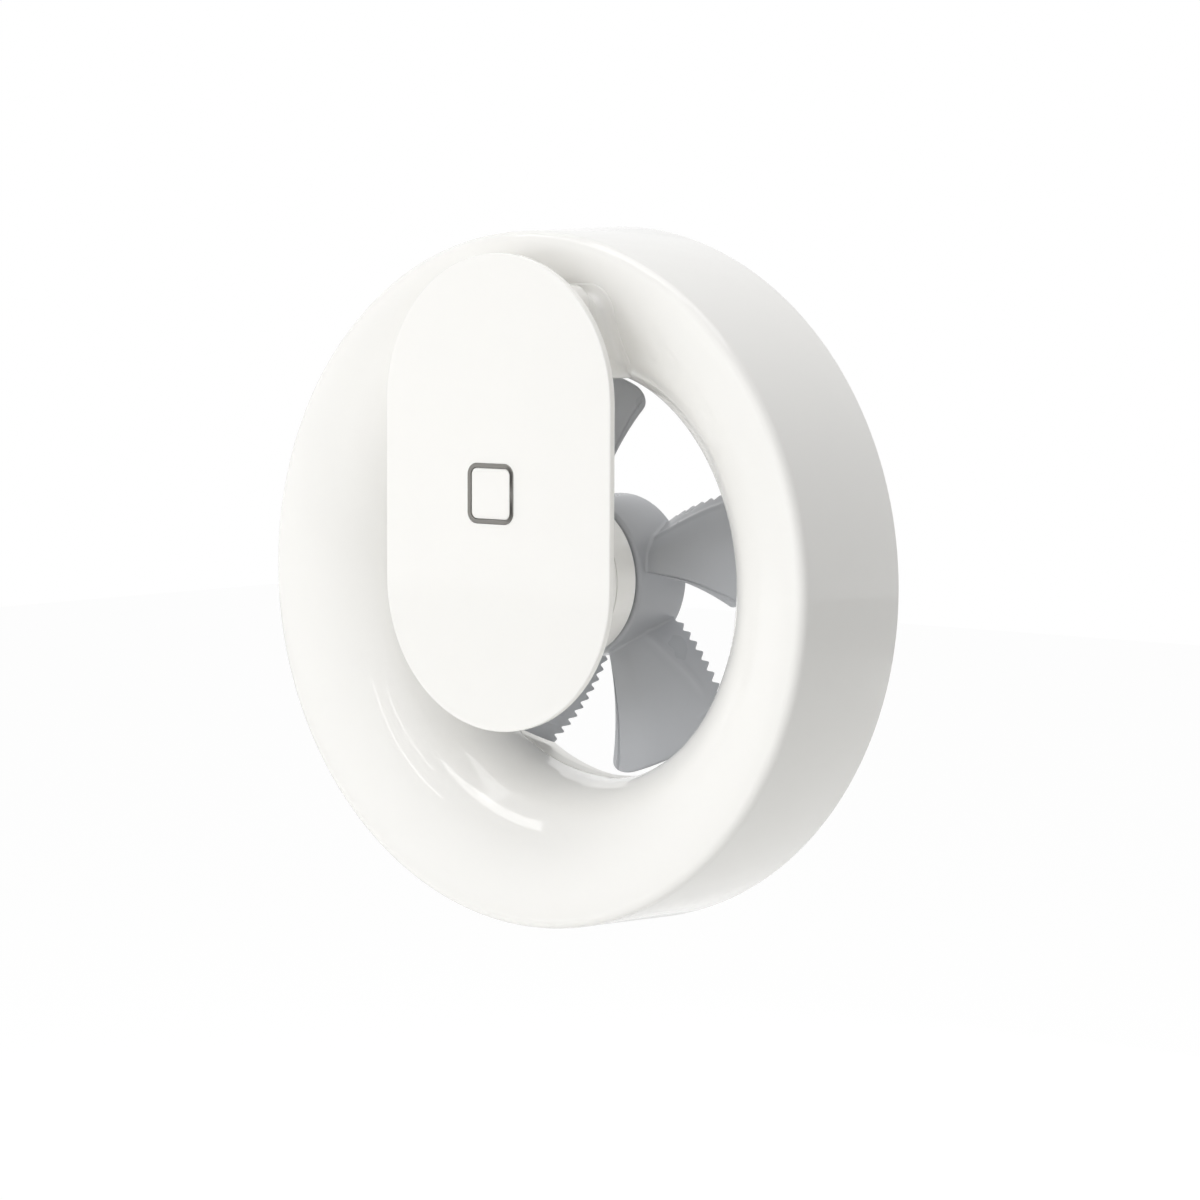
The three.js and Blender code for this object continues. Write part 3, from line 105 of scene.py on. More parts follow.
# cover plate
COVER_HALF_WIDTH = cover_high[0] + 0.65 * MM
COVER_HALF_HEIGHT = (cover_high[2] - cover_low[2]) / 2 + 0.2 * MM
COVER_CENTRE_Z = (cover_low[2] + cover_high[2]) / 2 - 0.15 * MM
COVER_STRAIGHT = COVER_HALF_HEIGHT - COVER_HALF_WIDTH
COVER_RIM_FRONT = -54.3 * MM
COVER_THICKNESS = 2.2 * MM
COVER_CROWN = 2.2 * MM
COVER_FRONT_EDGE = EASED
COVER_BACK_EDGE = EASED
POST_SEAT = 1.2 * MM
POST_RADIUS = 1.7 * MM
POST_END = cover_high[1]
POST_PLACES = tuple((side * 21 * MM, z) for side in (-1, 1) for z in (4 * MM, 66 * MM))

# bright frame and push button
FRAME_HALF = frame_high[0] - 0.1 * MM
FRAME_LINE = 1.2 * MM
FRAME_CORNER = 3.3 * MM
FRAME_PROUD = 0.25 * MM
FRAME_BEVEL = 0.12 * MM
INLAY_GAP = 0.1 * MM
FLANGE_HALF = button_high[0]
FLANGE_THICKNESS = 1.0 * MM
KEY_EDGE = 0.35 * MM
STEM_RADIUS = 1.6 * MM

# control housing
TRAY_HALF_WIDTH = housing_high[0]
TRAY_TOP = housing_high[2]
TRAY_FRONT = housing_low[1]
TRAY_BACK = TRAY_FRONT + 8.3 * MM
TRAY_FLOOR = TRAY_BACK - 1.8 * MM
TRAY_WALL = 2 * MM
TRAY_CORNER = 6 * MM
TRAY_BACK_EDGE = 1.8 * MM
TRAY_RIM_EDGE = EASED
TRAY_FLOOR_CORNER = 0.8 * MM
SOCKET_BORE, SOCKET_RADIUS = 2.0 * MM, 3.4 * MM
NECK_BOTTOM = BORE_RADIUS - 1.5 * MM
NECK_BACK = housing_high[1]
NECK_FLARE = 2 * MM
NECK_FILLET = 3.2 * MM
NECK_FILLET_RISE = 5 * MM
NECK_EDGE = 0.35 * MM
NECK_CORNER = 4 * MM
NECK_DROP = 3.2 * MM
NECK_LOWER_CORNER = 2 * MM
NECK_WALL_REACH = 1.2 * MM

# motor barrel
BARREL_RADIUS = cap_high[0]
BARREL_SEAM = -28 * MM
CAP_FRONT = BARREL_SEAM + FIT
CAP_BACK = cap_high[1]
BARREL_FILLET = 2 * MM
BARREL_WALL = 1.8 * MM
BARREL_FOOT = 3 * MM
CAP_LIP_DEPTH = 2.8 * MM
SHAFT_HOLE = 2.6 * MM

# impeller
HUB_RADIUS = 23.7 * MM
HUB_FRONT = wheel_low[1]
HUB_BACK = wheel_high[1]
HUB_WALL = 1.8 * MM
HUB_BOSS_RADIUS = 6.2 * MM
HUB_BOSS_LENGTH = 12 * MM
BUSH_RADIUS = 4.1 * MM
BLADE_COUNT = 5
BLADE_TIP = BORE_RADIUS - 1 * MM
BLADE_FRONT = HUB_FRONT + 3.2 * MM
BLADE_BACK = HUB_BACK - 0.1 * MM
BLADE_THICKNESS = 1.5 * MM
LEADING_ANGLES = (-66.4, -79.9)
TRAILING_ANGLES = (-29.5, -45.0)
CAMBER_POWER = 1.9
FLAP_SHARE = 0.05
CREASE = (0.625, 0.56, -0.27)
CREASE_SOFTNESS = 0.02
CREASE_RIB, CREASE_RIB_WIDTH = 0.3 * MM, 0.8 * MM
TIP_RIB, TIP_RIB_RADIUS, TIP_RIB_WIDTH = 0.35 * MM, 52.5 * MM, 0.5 * MM
TIP_CORNER_SHARE, TIP_CORNER_DROP = 0.25, 5 * MM
SERRATION_FIRST = HUB_RADIUS + 1.4 * MM
SERRATION_PITCH = 3.43 * MM
SERRATION_COUNT = 10
SERRATION_SHARE = 0.040
ROOT_FILLET = 0.9 * MM
TIP_ROUND = 0.5 * MM
TAIL_START = 0.88
ROWS_PER_HALF_TOOTH = 4


# ---- outlines and profiles ------------------------------------------------------------------------


def arc(centre, radii, start, stop, steps):
    """Points of an elliptical arc: the centre plus radii times (cos, sin), angles in degrees."""
    turn = np.radians(np.linspace(start, stop, steps + 1))
    return np.stack([centre[0] + radii[0] * np.cos(turn), centre[1] + radii[1] * np.sin(turn)], axis=-1)


def softened(corners, steps=6):
    """A closed outline through corners (a, b, radius), each one rounded by an arc of its radius.

    The arc touches both sides, so it starts radius / tan(half the corner's angle) away from the
    corner, and its centre lies on the corner's bisector. The first point is repeated at the end.
    """
    points = np.array([corner[:2] for corner in corners], float)
    rounds = []
    for i, (*_, radius) in enumerate(corners):
        here = points[i]
        if radius <= 0:
            rounds.append(here[None, :])
            continue
        before, after = (other - here for other in (points[i - 1], points[(i + 1) % len(points)]))
        before, after = before / np.linalg.norm(before), after / np.linalg.norm(after)
        half = np.arccos(np.clip(before @ after, -1, 1)) / 2
        middle = before + after
        centre = here + middle / np.linalg.norm(middle) * radius / np.sin(half)
        first = here + before * radius / np.tan(half) - centre
        last = here + after * radius / np.tan(half) - centre
        sweep = np.pi - 2 * half
        share = np.linspace(0, 1, steps + 1)[:, None]
        blend = (first * np.sin((1 - share) * sweep) + last * np.sin(share * sweep)) / np.sin(sweep)
        rounds.append(centre + blend)
    outline = np.concatenate(rounds)
    return np.concatenate([outline, outline[:1]])


def turned(profile, sides=192, centre=(0.0, 0.0)):
    """A profile of (radius, y) points turned about the Y axis through centre (x, z)."""
    turn = np.linspace(0, 2 * np.pi, sides + 1)
    radius, y = profile[:, :1], profile[:, 1:]
    x = centre[0] + radius * np.cos(turn)
    z = centre[1] + radius * np.sin(turn)
    return np.stack([x, np.broadcast_to(y, x.shape), z], axis=-1)


def lofted(loops):
    """A grid through loops, each a list of (x, z) points with their depth y."""
    return np.stack([np.stack([xz[:, 0], np.broadcast_to(y, xz[:, 0].shape), xz[:, 1]], axis=-1)
                     for xz, y in loops])


def stadium(half_width, straight, centre_z, steps=64):
    """A closed stadium of (x, z) points: two half circles joined by straight sides.

    The loop starts at the middle of the right side, so it lines up with rounded_square.
    """
    top = arc((0, centre_z + straight), (half_width, half_width), 0, 180, steps)
    low = arc((0, centre_z - straight), (half_width, half_width), 180, 360, steps)
    side = np.linspace(0, 1, steps // 4 + 1)[:, None]
    left = top[-1] + (low[0] - top[-1]) * side
    right = low[-1] + (top[0] - low[-1]) * side
    half = len(right) // 2
    return np.concatenate([right[half:-1], top[:-1], left[:-1], low[:-1], right[:half + 1]])


def rounded_square(half, corner, centre_z, steps=16, side_steps=12):
    """A closed square of (x, z) points with quarter circles at its corners."""
    inner = half - corner
    sides = []
    for quarter in range(4):
        turn = quarter * np.pi / 2
        spin = np.array([[np.cos(turn), np.sin(turn)], [-np.sin(turn), np.cos(turn)]])
        out, level = np.linspace(0, inner, side_steps, endpoint=False), np.full(side_steps, half)
        back = np.linspace(inner, 0, side_steps, endpoint=False)
        straight = np.stack([level, out], -1)
        round_part = arc((inner, inner), (corner, corner), 0, 90, steps)[:-1]
        rest = np.stack([back, level], -1)
        sides.append(np.concatenate([straight, round_part, rest]) @ spin)
    loop = np.concatenate(sides)
    loop = np.concatenate([loop, loop[:1]])
    return loop + np.array([0, centre_z])


# ---- pieces ---------------------------------------------------------------------------------------


def weld(mesh):
    """Merges the seams and poles of a mesh's grids and turns its faces outwards."""
    work = bmesh.new()
    work.from_mesh(mesh)
    bmesh.ops.remove_doubles(work, verts=work.verts, dist=1e-6)
    bmesh.ops.dissolve_degenerate(work, edges=work.edges, dist=1e-7)
    bmesh.ops.recalc_face_normals(work, faces=work.faces)
    work.to_mesh(mesh)
    work.free()


def piece(name, grids, body, material, nodes=(), sharp=40):
    """One object from closed grids of points, each of shape (rows, columns, 3).

    It rides on the body, stands for the nodes, and is smooth except at edges sharper than sharp.
    """
    vertices, quads, start = [], [], 0
    for grid in grids:
        rows, columns = grid.shape[:2]
        index = start + np.arange(rows * columns).reshape(rows, columns)
        corners = [index[:-1, :-1], index[:-1, 1:], index[1:, 1:], index[1:, :-1]]
        quads.append(np.stack(corners, axis=-1).reshape(-1, 4))
        vertices.append(grid.reshape(-1, 3))
        start += rows * columns
    mesh = bpy.data.meshes.new(name)
    mesh.from_pydata(np.concatenate(vertices), [], np.concatenate(quads))
    weld(mesh)
    finished = bpy.data.objects.new(name, mesh)
    bpy.context.scene.collection.objects.link(finished)
    return settle(finished, body, material, nodes, sharp)


def settle(finished, body, material, nodes, sharp):
    """Gives a finished piece its shading, material and body, and hides the nodes it stands for."""
    finished.data.shade_smooth()
    finished.data.set_sharp_from_angle(angle=np.radians(sharp))
    finished.data.materials.clear()
    finished.data.materials.append(material["material"])
    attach(finished, body)
    if nodes:
        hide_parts(*nodes)
    return finished


def drilled(target, grids):
    """Cuts closed grids out of a piece, with the result applied to its mesh."""
    tool = piece("drill", grids, "housing", moulded_abs_satin)
    cut = target.modifiers.new("cut", "BOOLEAN")
    cut.object, cut.operation, cut.solver = tool, "DIFFERENCE", "EXACT"
    bpy.context.view_layer.update()
    result = bpy.data.meshes.new_from_object(target.evaluated_get(bpy.context.evaluated_depsgraph_get()))
    target.modifiers.remove(cut)
    target.data = result
    bpy.data.objects.remove(tool)


# ---- materials ------------------------------------------------------------------------------------


def colour(code):
    """An sRGB hex colour as linear RGBA."""
    parts = [int(code[i:i + 2], 16) / 255 for i in (1, 3, 5)]
    return [c / 12.92 if c <= 0.04045 else ((c + 0.055) / 1.055) ** 2.4 for c in parts] + [1.0]


def add(tree, kind, inputs=None, **settings):
    """One node with its settings, and its inputs set to values or linked to sockets."""
    node = tree.nodes.new(kind)
    for name, value in settings.items():
        setattr(node, name, value)
    for name, value in (inputs or {}).items():
        if isinstance(value, bpy.types.NodeSocket):
            tree.links.new(value, node.inputs[name])
        else:
            node.inputs[name].default_value = value
    return node


def surface(name, slot, base, roughness, ior=None, metallic=0.0, spread=0.03, mottle_mm=18.0,
            grain_mm=1.2, grain_depth_mm=0.004, shade=0.03, **sockets):
    """A plain finish: a colour that drifts a little, a roughness that drifts, and a fine grain.

    spread is how far the roughness moves either way, shade how much darker the colour gets in the
    drift, mottle_mm the size of the drift and grain_mm and grain_depth_mm those of the grain. Real
    grains are finer than a render shows, so they are drawn coarser, as they need to be to show.
    """
    material = bpy.data.materials.new(name)
    material.use_nodes = True
    tree = material.node_tree
    tree.nodes.clear()
    place = add(tree, "ShaderNodeTexCoord").outputs["Object"]
    drift = add(tree, "ShaderNodeTexNoise",
                {"Vector": place, "Scale": 1 / (mottle_mm * MM), "Detail": 3.0}).outputs["Fac"]
    grain = add(tree, "ShaderNodeTexNoise",
                {"Vector": place, "Scale": 1 / (grain_mm * MM), "Detail": 2.0}).outputs["Fac"]
    lit, dim = colour(base), [c * (1 - shade) for c in colour(base)[:3]] + [1.0]
    tint = add(tree, "ShaderNodeMix", {"Factor": drift, "A": dim, "B": lit}, data_type="RGBA")
    wear = add(tree, "ShaderNodeMapRange",
               {"Value": drift, "To Min": roughness - spread, "To Max": roughness + spread})
    bump = add(tree, "ShaderNodeBump",
               {"Height": grain, "Strength": 1.0, "Distance": grain_depth_mm * MM})
    inputs = {"Base Color": tint.outputs["Result"], "Roughness": wear.outputs["Result"],
              "Metallic": metallic, "Normal": bump.outputs["Normal"]}
    if ior:
        inputs["IOR"] = ior
    inputs.update(sockets)
    shader = add(tree, "ShaderNodeBsdfPrincipled", inputs)
    add(tree, "ShaderNodeOutputMaterial", {"Surface": shader.outputs["BSDF"]})
    return {"material": material, "slot": slot}


# ABS from a polished mould: nearly white with a warm cast, sharp reflections, a trace of orange peel.
moulded_abs_gloss = surface("moulded ABS, polished", "gloss_white", "#f9f8f5", 0.05, ior=1.53,
                            spread=0.015, grain_mm=6, grain_depth_mm=0.002, shade=0.008)
# ABS from a spark-eroded mould: the same colour with a fine matt grain, behind and inside.
moulded_abs_satin = surface("moulded ABS, spark-eroded", "satin_white", "#ecebe7", 0.42, ior=1.53,
                            grain_mm=0.4, grain_depth_mm=0.01, shade=0.02)
# Polypropylene, mid grey: waxy, with broad soft highlights.
moulded_polypropylene = surface("moulded polypropylene", "blade_grey", "#aeb0b4", 0.28, ior=1.49,
                                grain_mm=0.8, grain_depth_mm=0.004, shade=0.02)
# Dark decorative chrome on plastic: a mirror that shows the room in greys.
chrome_plate = surface("chrome plate", "chrome", "#8f8d89", 0.045, metallic=1.0,
                       spread=0.01, grain_mm=4, grain_depth_mm=0.0004, shade=0.02)
# Zinc-plated steel screws, with the passivation's cloudy sheen.
zinc_plated_steel = surface("zinc-plated steel", "steel", "#b2b4b6", 0.32, metallic=1.0,
                            spread=0.06, mottle_mm=2, grain_mm=0.3, grain_depth_mm=0.002, shade=0.15)
# Brass terminal parts, bright from the lathe: a warm metal glint inside the terminal block.
turned_brass = surface("turned brass", "brass", "#c8a75a", 0.3, metallic=1.0,
                       spread=0.05, mottle_mm=3, grain_mm=0.3, grain_depth_mm=0.002, shade=0.1)
# Copper wire under varnish: reddish windings with the fine ridges of their turns.
enamelled_copper = surface("enamelled copper wire", "copper", "#b06a3b", 0.3, metallic=1.0,
                           grain_mm=0.35, grain_depth_mm=0.05, shade=0.2)
# Punched steel sheets in a stack: a dull dark grey metal.
electrical_steel = surface("stacked electrical steel", "core_steel", "#5c5f63", 0.45, metallic=1.0,
                           grain_mm=0.5, grain_depth_mm=0.02, shade=0.2)
# Pressed and fired ferrite: charcoal, matt and slightly grainy.
sintered_ferrite = surface("sintered ferrite", "ferrite", "#2b2c2e", 0.7, ior=1.6,
                           grain_mm=0.3, grain_depth_mm=0.02, shade=0.2)
# A circuit board's lacquer over glass epoxy: dark green with a soft gloss.
solder_mask = surface("glass epoxy with solder mask", "board_green", "#1f5a3c", 0.35, ior=1.55,
                      mottle_mm=4, grain_mm=0.5, grain_depth_mm=0.01, shade=0.15)
# Moulded chip and module bodies: black with a dry matt skin.
black_epoxy = surface("moulded black epoxy", "chip_black", "#1d1e20", 0.55, ior=1.55,
                      grain_mm=0.2, grain_depth_mm=0.01, shade=0.1)
# Rubber seals, grommets and lead jackets: near-black, matt, with no clear highlight.
epdm_rubber = surface("EPDM rubber", "rubber", "#3a3b3d", 0.8, ior=1.52,
                      grain_mm=0.5, grain_depth_mm=0.02, shade=0.15)
# Foam strip: mid grey with visible pores, 0.6 mm across, and no shine.
closed_cell_foam = surface("closed-cell foam", "foam", "#6d6f70", 0.95, ior=1.45,
                           mottle_mm=5, grain_mm=0.6, grain_depth_mm=0.15, shade=0.2)
# Shrunk PVC film round the capacitor: deep blue with a soft gloss.
shrink_sleeve = surface("PVC shrink sleeve", "blue_sleeve", "#2c4a78", 0.35, ior=1.53, shade=0.08)
# Plugs and blocks in nylon: milky off-white, half matt.
moulded_nylon = surface("moulded nylon", "connector_white", "#e4e2da", 0.5, ior=1.53, shade=0.04)


# ---- outer ring -----------------------------------------------------------------------------------


def mouth_depth(radius):
    """The bell mouth's y at a radius: a quarter ellipse from the bore's wall out to the lip."""
    across = np.clip((BORE_RADIUS + MOUTH_WIDTH - radius) / MOUTH_WIDTH, 0, 1)
    return RING_FRONT + MOUTH_DEPTH * (1 - np.sqrt(1 - across * across))


def ring_section(inset, mouth_steps, lip_steps):
    """The front surface's section from throat to skirt, drawn in behind the face by inset.

    A quarter ellipse from the bore's wall out to the crest, and a quarter circle round the lip.
    """
    crest = BORE_RADIUS + MOUTH_WIDTH
    mouth = arc((crest, RING_FRONT + MOUTH_DEPTH), (MOUTH_WIDTH - inset, MOUTH_DEPTH - inset),
                180, 270, mouth_steps)
    lip = arc((crest, RING_FRONT + LIP_RADIUS), (LIP_RADIUS - inset, LIP_RADIUS - inset),
              270, 360, lip_steps)
    return np.concatenate([mouth, lip[1:]])


def outer_ring():
    edge = EASED
    front = ring_section(0, 72, 14)
    back = ring_section(RING_WALL, 40, 4)[::-1]
    bore_edge = arc((BORE_RADIUS + edge, BORE_END - edge), (edge, edge), 90, 180, 4)
    skirt_edge = arc((RING_RADIUS - edge, -edge), (edge, edge), 0, 90, 4)
    inside = np.array([[RING_RADIUS - RING_WALL, 0.0]])
    bore_back = np.array([[BORE_RADIUS + RING_WALL, BORE_END]])
    profile = np.concatenate([bore_edge, front, skirt_edge, inside, back, bore_back])
    profile = np.concatenate([profile, profile[:1]])
    piece("ring_shell", [turned(profile, 256)], "housing", moulded_abs_gloss, ["outer_ring"])


# ---- wall plate, gasket and seal ------------------------------------------------------------------


def polar(circle, angle):
    return circle * np.cos(np.radians(angle)), circle * np.sin(np.radians(angle))


def rod(radius, front, back, centre, sides=48):
    """A plain closed rod along Y."""
    profile = np.array([[0, front], [radius, front], [radius, back], [0, back]])
    return turned(profile, sides, centre)


def wall_plate():
    edge = EASED
    seal_front, seal_back = SEAL_LOW[1] - FIT, SEAL_HIGH[1] + FIT
    seal_floor = COLLAR_RADIUS - 0.9 * MM
    profile = softened([
        (BORE_RADIUS, COLLAR_FRONT, edge), (COLLAR_RADIUS, COLLAR_FRONT, edge),
        (COLLAR_RADIUS, PLATE_FRONT, 0.8 * MM), (PLATE_RADIUS, PLATE_FRONT, edge),
        (PLATE_RADIUS, 0, edge), (GROOVE_OUTER, 0, 0.15 * MM), (GROOVE_OUTER, -GROOVE_DEPTH, 0),
        (GROOVE_INNER, -GROOVE_DEPTH, 0), (GROOVE_INNER, 0, 0.15 * MM), (COLLAR_RADIUS, 0, 0.3 * MM),
        (COLLAR_RADIUS, seal_front, 0.2 * MM), (seal_floor, seal_front, 0), (seal_floor, seal_back, 0),
        (COLLAR_RADIUS, seal_back, 0.2 * MM), (COLLAR_RADIUS, COLLAR_END, 0.3 * MM),
        (BORE_RADIUS + COLLAR_TAPER, COLLAR_END, 0.2 * MM), (BORE_RADIUS, 0.7 * MM, 2 * MM)], steps=4)
    plate = piece("duct_plate", [turned(profile)], "housing", moulded_abs_satin, ["wall_plate"])
    drills = [rod(WALL_HOLE_RADIUS, PLATE_FRONT - MM, MM, polar(WALL_HOLE_CIRCLE, angle))
              for angle in WALL_HOLE_ANGLES]
    drills += [rod(FIXING_WELL_RADIUS, -SCREW_HEAD_HEIGHT, MM, polar(FIXING_CIRCLE, angle))
               for angle in FIXING_ANGLES]
    low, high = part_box("cable_grommet")
    middle = ((low[0] + high[0]) / 2, (low[2] + high[2]) / 2)
    drills.append(rod(CABLE_HOLE, PLATE_FRONT - MM, MM, middle))
    drilled(plate, drills)
    settle(plate, "housing", moulded_abs_satin, (), 35)

    gasket_inner, gasket_outer = GROOVE_INNER + FIT, GROOVE_OUTER - FIT
    gasket = softened([(gasket_inner, -GROOVE_DEPTH, 0), (gasket_outer, -GROOVE_DEPTH, 0),
                       (gasket_outer, 0, 0.5 * MM), (gasket_inner, 0, 0.5 * MM)])
    piece("foam_gasket", [turned(gasket)], "housing", closed_cell_foam, ["wall_gasket"])

    floor = seal_floor + FIT
    outer = SEAL_HIGH[0]
    seal = softened([(floor, SEAL_LOW[1], 0), (outer - 0.9 * MM, SEAL_LOW[1], 0.4 * MM),
                     (outer, SEAL_HIGH[1] - 0.5 * MM, 0.3 * MM), (outer, SEAL_HIGH[1], 0.2 * MM),
                     (floor, SEAL_HIGH[1], 0)])
    piece("lip_seal", [turned(seal)], "housing", epdm_rubber, ["collar_seal"])

    bore, neck, lip = 3.4 * MM, 5.6 * MM, 7.6 * MM
    shoulder = PLATE_FRONT - FIT
    grommet = softened([(bore, low[1], 0.5 * MM), (neck, low[1], 0.5 * MM), (lip, shoulder, 0.2 * MM),
                        (neck, shoulder, 0), (neck, high[1], 0.3 * MM), (bore, high[1], 0.5 * MM)])
    piece("entry_grommet", [turned(grommet, 64, middle)], "housing", epdm_rubber, ["cable_grommet"])


def cross_head_screws(node, count, body="housing"):
    """Pan-head screws with a cross recess, heads towards +Y, one for each node name and number.

    The head's height at (radius, angle) is a shallow dome, less the recess: a step down where the
    point lies within the cross's half width of either arm and inside the recess radius.
    """
    for number in range(1, count + 1):
        name = f"{node}_{number}"
        low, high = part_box(name)
        centre = ((low[0] + high[0]) / 2, (low[2] + high[2]) / 2)
        shares = np.concatenate([np.linspace(0, 0.92, 30), [0.96, 0.99, 1.0]])
        radius = shares[:, None] * SCREW_HEAD_RADIUS
        turn = np.linspace(0, 2 * np.pi, 97)[None, :]
        across = np.minimum(np.abs(radius * np.cos(turn)), np.abs(radius * np.sin(turn)))
        arm = np.clip((CROSS_HALF_WIDTH - across) / (0.12 * MM), 0, 1)
        inside = np.clip((CROSS_REACH - radius) / (0.25 * MM), 0, 1)
        dome = SCREW_HEAD_HEIGHT * (1 - 0.5 * (radius / SCREW_HEAD_RADIUS) ** 4)
        top = high[1] - SCREW_HEAD_HEIGHT + dome - CROSS_DEPTH * arm * inside
        x = centre[0] + radius * np.cos(turn)
        z = centre[1] + radius * np.sin(turn)
        head = np.stack([x, top, z], axis=-1)
        seat = high[1] - SCREW_HEAD_HEIGHT
        shank = SCREW_SHANK_RADIUS
        below = np.array([[SCREW_HEAD_RADIUS, seat], [shank, seat], [shank, low[1] + shank],
                          [0.6 * shank, low[1]], [0, low[1]]])
        grid = np.concatenate([head, turned(below, 96, centre)])
        piece(f"{node}_turned_{number}", [grid], body, zinc_plated_steel, [name], sharp=30)


# ---- control housing and motor barrel -------------------------------------------------------------


def tray_outline(inset, bottom=None, corner=None, top_corner=TRAY_CORNER, drop=0.0):
    """The tray's closed outline of (x, z) points, drawn in by inset.

    A half circle about the fan's axis below, straight sides, and round top corners. With bottom
    given, it is the neck's outline instead, a rectangle from there up with small lower corners.
    """
    half = TRAY_HALF_WIDTH - inset
    top = TRAY_TOP - inset - drop
    top_corner = max(top_corner - max(inset, 0), 0)
    top_right = arc((half - top_corner, top - top_corner), (top_corner, top_corner), 0, 90, 12)
    top_left = arc((-half + top_corner, top - top_corner), (top_corner, top_corner), 90, 180, 12)
    if bottom is None:
        below = arc((0, 0), (half, half), 180, 360, 64)
    else:
        low, small = bottom + inset, max(corner - inset, 0)
        lower_left = arc((-half + small, low + small), (small, small), 180, 270, 16)
        lower_right = arc((half - small, low + small), (small, small), 270, 360, 16)
        between = np.linspace(lower_left[-1], lower_right[0], 33)[1:-1]
        below = np.concatenate([lower_left, between, lower_right])
    parts = [below, np.linspace(below[-1], top_right[0], 33)[1:-1], top_right,
             np.linspace(top_right[-1], top_left[0], 33)[1:-1], top_left,
             np.linspace(top_left[-1], below[0], 33)[1:]]
    return np.concatenate(parts)


def outward(loop):
    """Unit normals of a closed loop of (x, z) points that runs anticlockwise, pointing out."""
    ahead = np.roll(loop[:-1], -1, axis=0) - np.roll(loop[:-1], 1, axis=0)
    normal = np.stack([ahead[:, 1], -ahead[:, 0]], axis=-1)
    normal /= np.maximum(np.linalg.norm(normal, axis=1, keepdims=True), 1e-12)
    return np.concatenate([normal, normal[:1]])


def tray():
    """The open tray: floor, inner wall, rim, outer wall, back edge and back face, as inset loops.

    The back edge is round below the neck and square within it, where the neck's wall goes on.
    """
    below_neck = np.clip((NECK_BOTTOM - tray_outline(0)[:, 1]) / (3 * MM), 0, 1)
    edge = TRAY_BACK_EDGE * below_neck
    edge_steps = np.radians(np.linspace(0, 90, 7))
    corner, rim = TRAY_FLOOR_CORNER, TRAY_RIM_EDGE
    loops = [(tray_outline(inset), TRAY_FLOOR)
             for inset in np.linspace(TRAY_HALF_WIDTH, TRAY_WALL + corner, 6)]
    for turn in np.radians(np.linspace(0, 90, 5)):
        inset = TRAY_WALL + corner * (1 - np.sin(turn))
        loops.append((tray_outline(inset), TRAY_FLOOR - corner * (1 - np.cos(turn))))
    loops.append((tray_outline(TRAY_WALL), TRAY_FRONT))
    for turn in np.radians(np.linspace(0, 90, 5)):
        inset = rim * (1 - np.sin(turn))
        loops.append((tray_outline(inset), TRAY_FRONT + rim * (1 - np.cos(turn))))
    base = tray_outline(0)
    normal = outward(base)
    for turn in edge_steps:
        drawn_in = base - normal * (edge * (1 - np.cos(turn)))[:, None]
        loops.append((drawn_in, TRAY_BACK - edge * (1 - np.sin(turn))))
    loops += [(tray_outline(inset), TRAY_BACK) for inset in np.linspace(4 * MM, TRAY_HALF_WIDTH, 6)]
    return lofted(loops)


def neck():
    """The neck's wall from the tray down to the bell mouth, with a hollow fillet at its foot.

    The wall runs straight from the tray's outline to a wider one at the mouth. The foot is a
    quadratic curve for each outline point: it leaves the wall NECK_FILLET_RISE in front of the
    mouth, its control point is where wall and mouth meet, and it ends NECK_FILLET further out,
    with a small round edge that stands on the mouth. Over the bore, the wall ends at the neck's back.
    """
    corner = NECK_LOWER_CORNER
    front = tray_outline(0, NECK_BOTTOM, corner)
    sideways = np.clip((front[:, 1] - NECK_BOTTOM) / (4 * MM), 0, 1)
    flared = tray_outline(-NECK_FLARE, NECK_BOTTOM + NECK_FLARE, corner, NECK_CORNER,
                          NECK_FLARE + NECK_DROP)
    base = front + (flared - front) * sideways[:, None]
    normal = outward(base)
    reach = NECK_FILLET * sideways
    step = NECK_EDGE * sideways

    def foot_depth(xz):
        return np.minimum(mouth_depth(np.hypot(xz[:, 0], xz[:, 1])), NECK_BACK)

    meet = foot_depth(base) - step
    spread = base + normal * reach[:, None]
    foot_end = foot_depth(spread) - step
    rise = np.minimum(NECK_FILLET_RISE * sideways, np.maximum(meet - TRAY_BACK, 0) * 0.8)
    start = meet - rise
    loops = [(front + (base - front) * share, TRAY_BACK + (start - TRAY_BACK) * share)
             for share in np.linspace(0, 1, 14)]
    for share in np.linspace(0, 1, 21)[1:]:
        outer = base + normal * (reach * share ** 2)[:, None]
        depth = start * (1 - share) ** 2 + 2 * meet * share * (1 - share) + foot_end * share ** 2
        loops.append((outer, depth))
    for turn in np.radians(np.linspace(0, 90, 6))[1:]:
        outer = spread + normal * (step * np.sin(turn))[:, None]
        loops.append((outer, foot_end + step * (1 - np.cos(turn))))
    loops.append((spread + normal * step[:, None], foot_end + step + NECK_WALL_REACH * sideways))
    for inset in np.linspace(1 * MM, 13 * MM, 8):
        inner = tray_outline(inset, NECK_BOTTOM, corner)
        sunk = mouth_depth(np.hypot(inner[:, 0], inner[:, 1])) + NECK_WALL_REACH
        loops.append((inner, np.minimum(sunk, NECK_BACK)))
    last = tray_outline(13.25 * MM, NECK_BOTTOM, corner)
    loops.append((last, TRAY_BACK * 0.6))
    loops.append((last, TRAY_BACK))
    return lofted(loops)


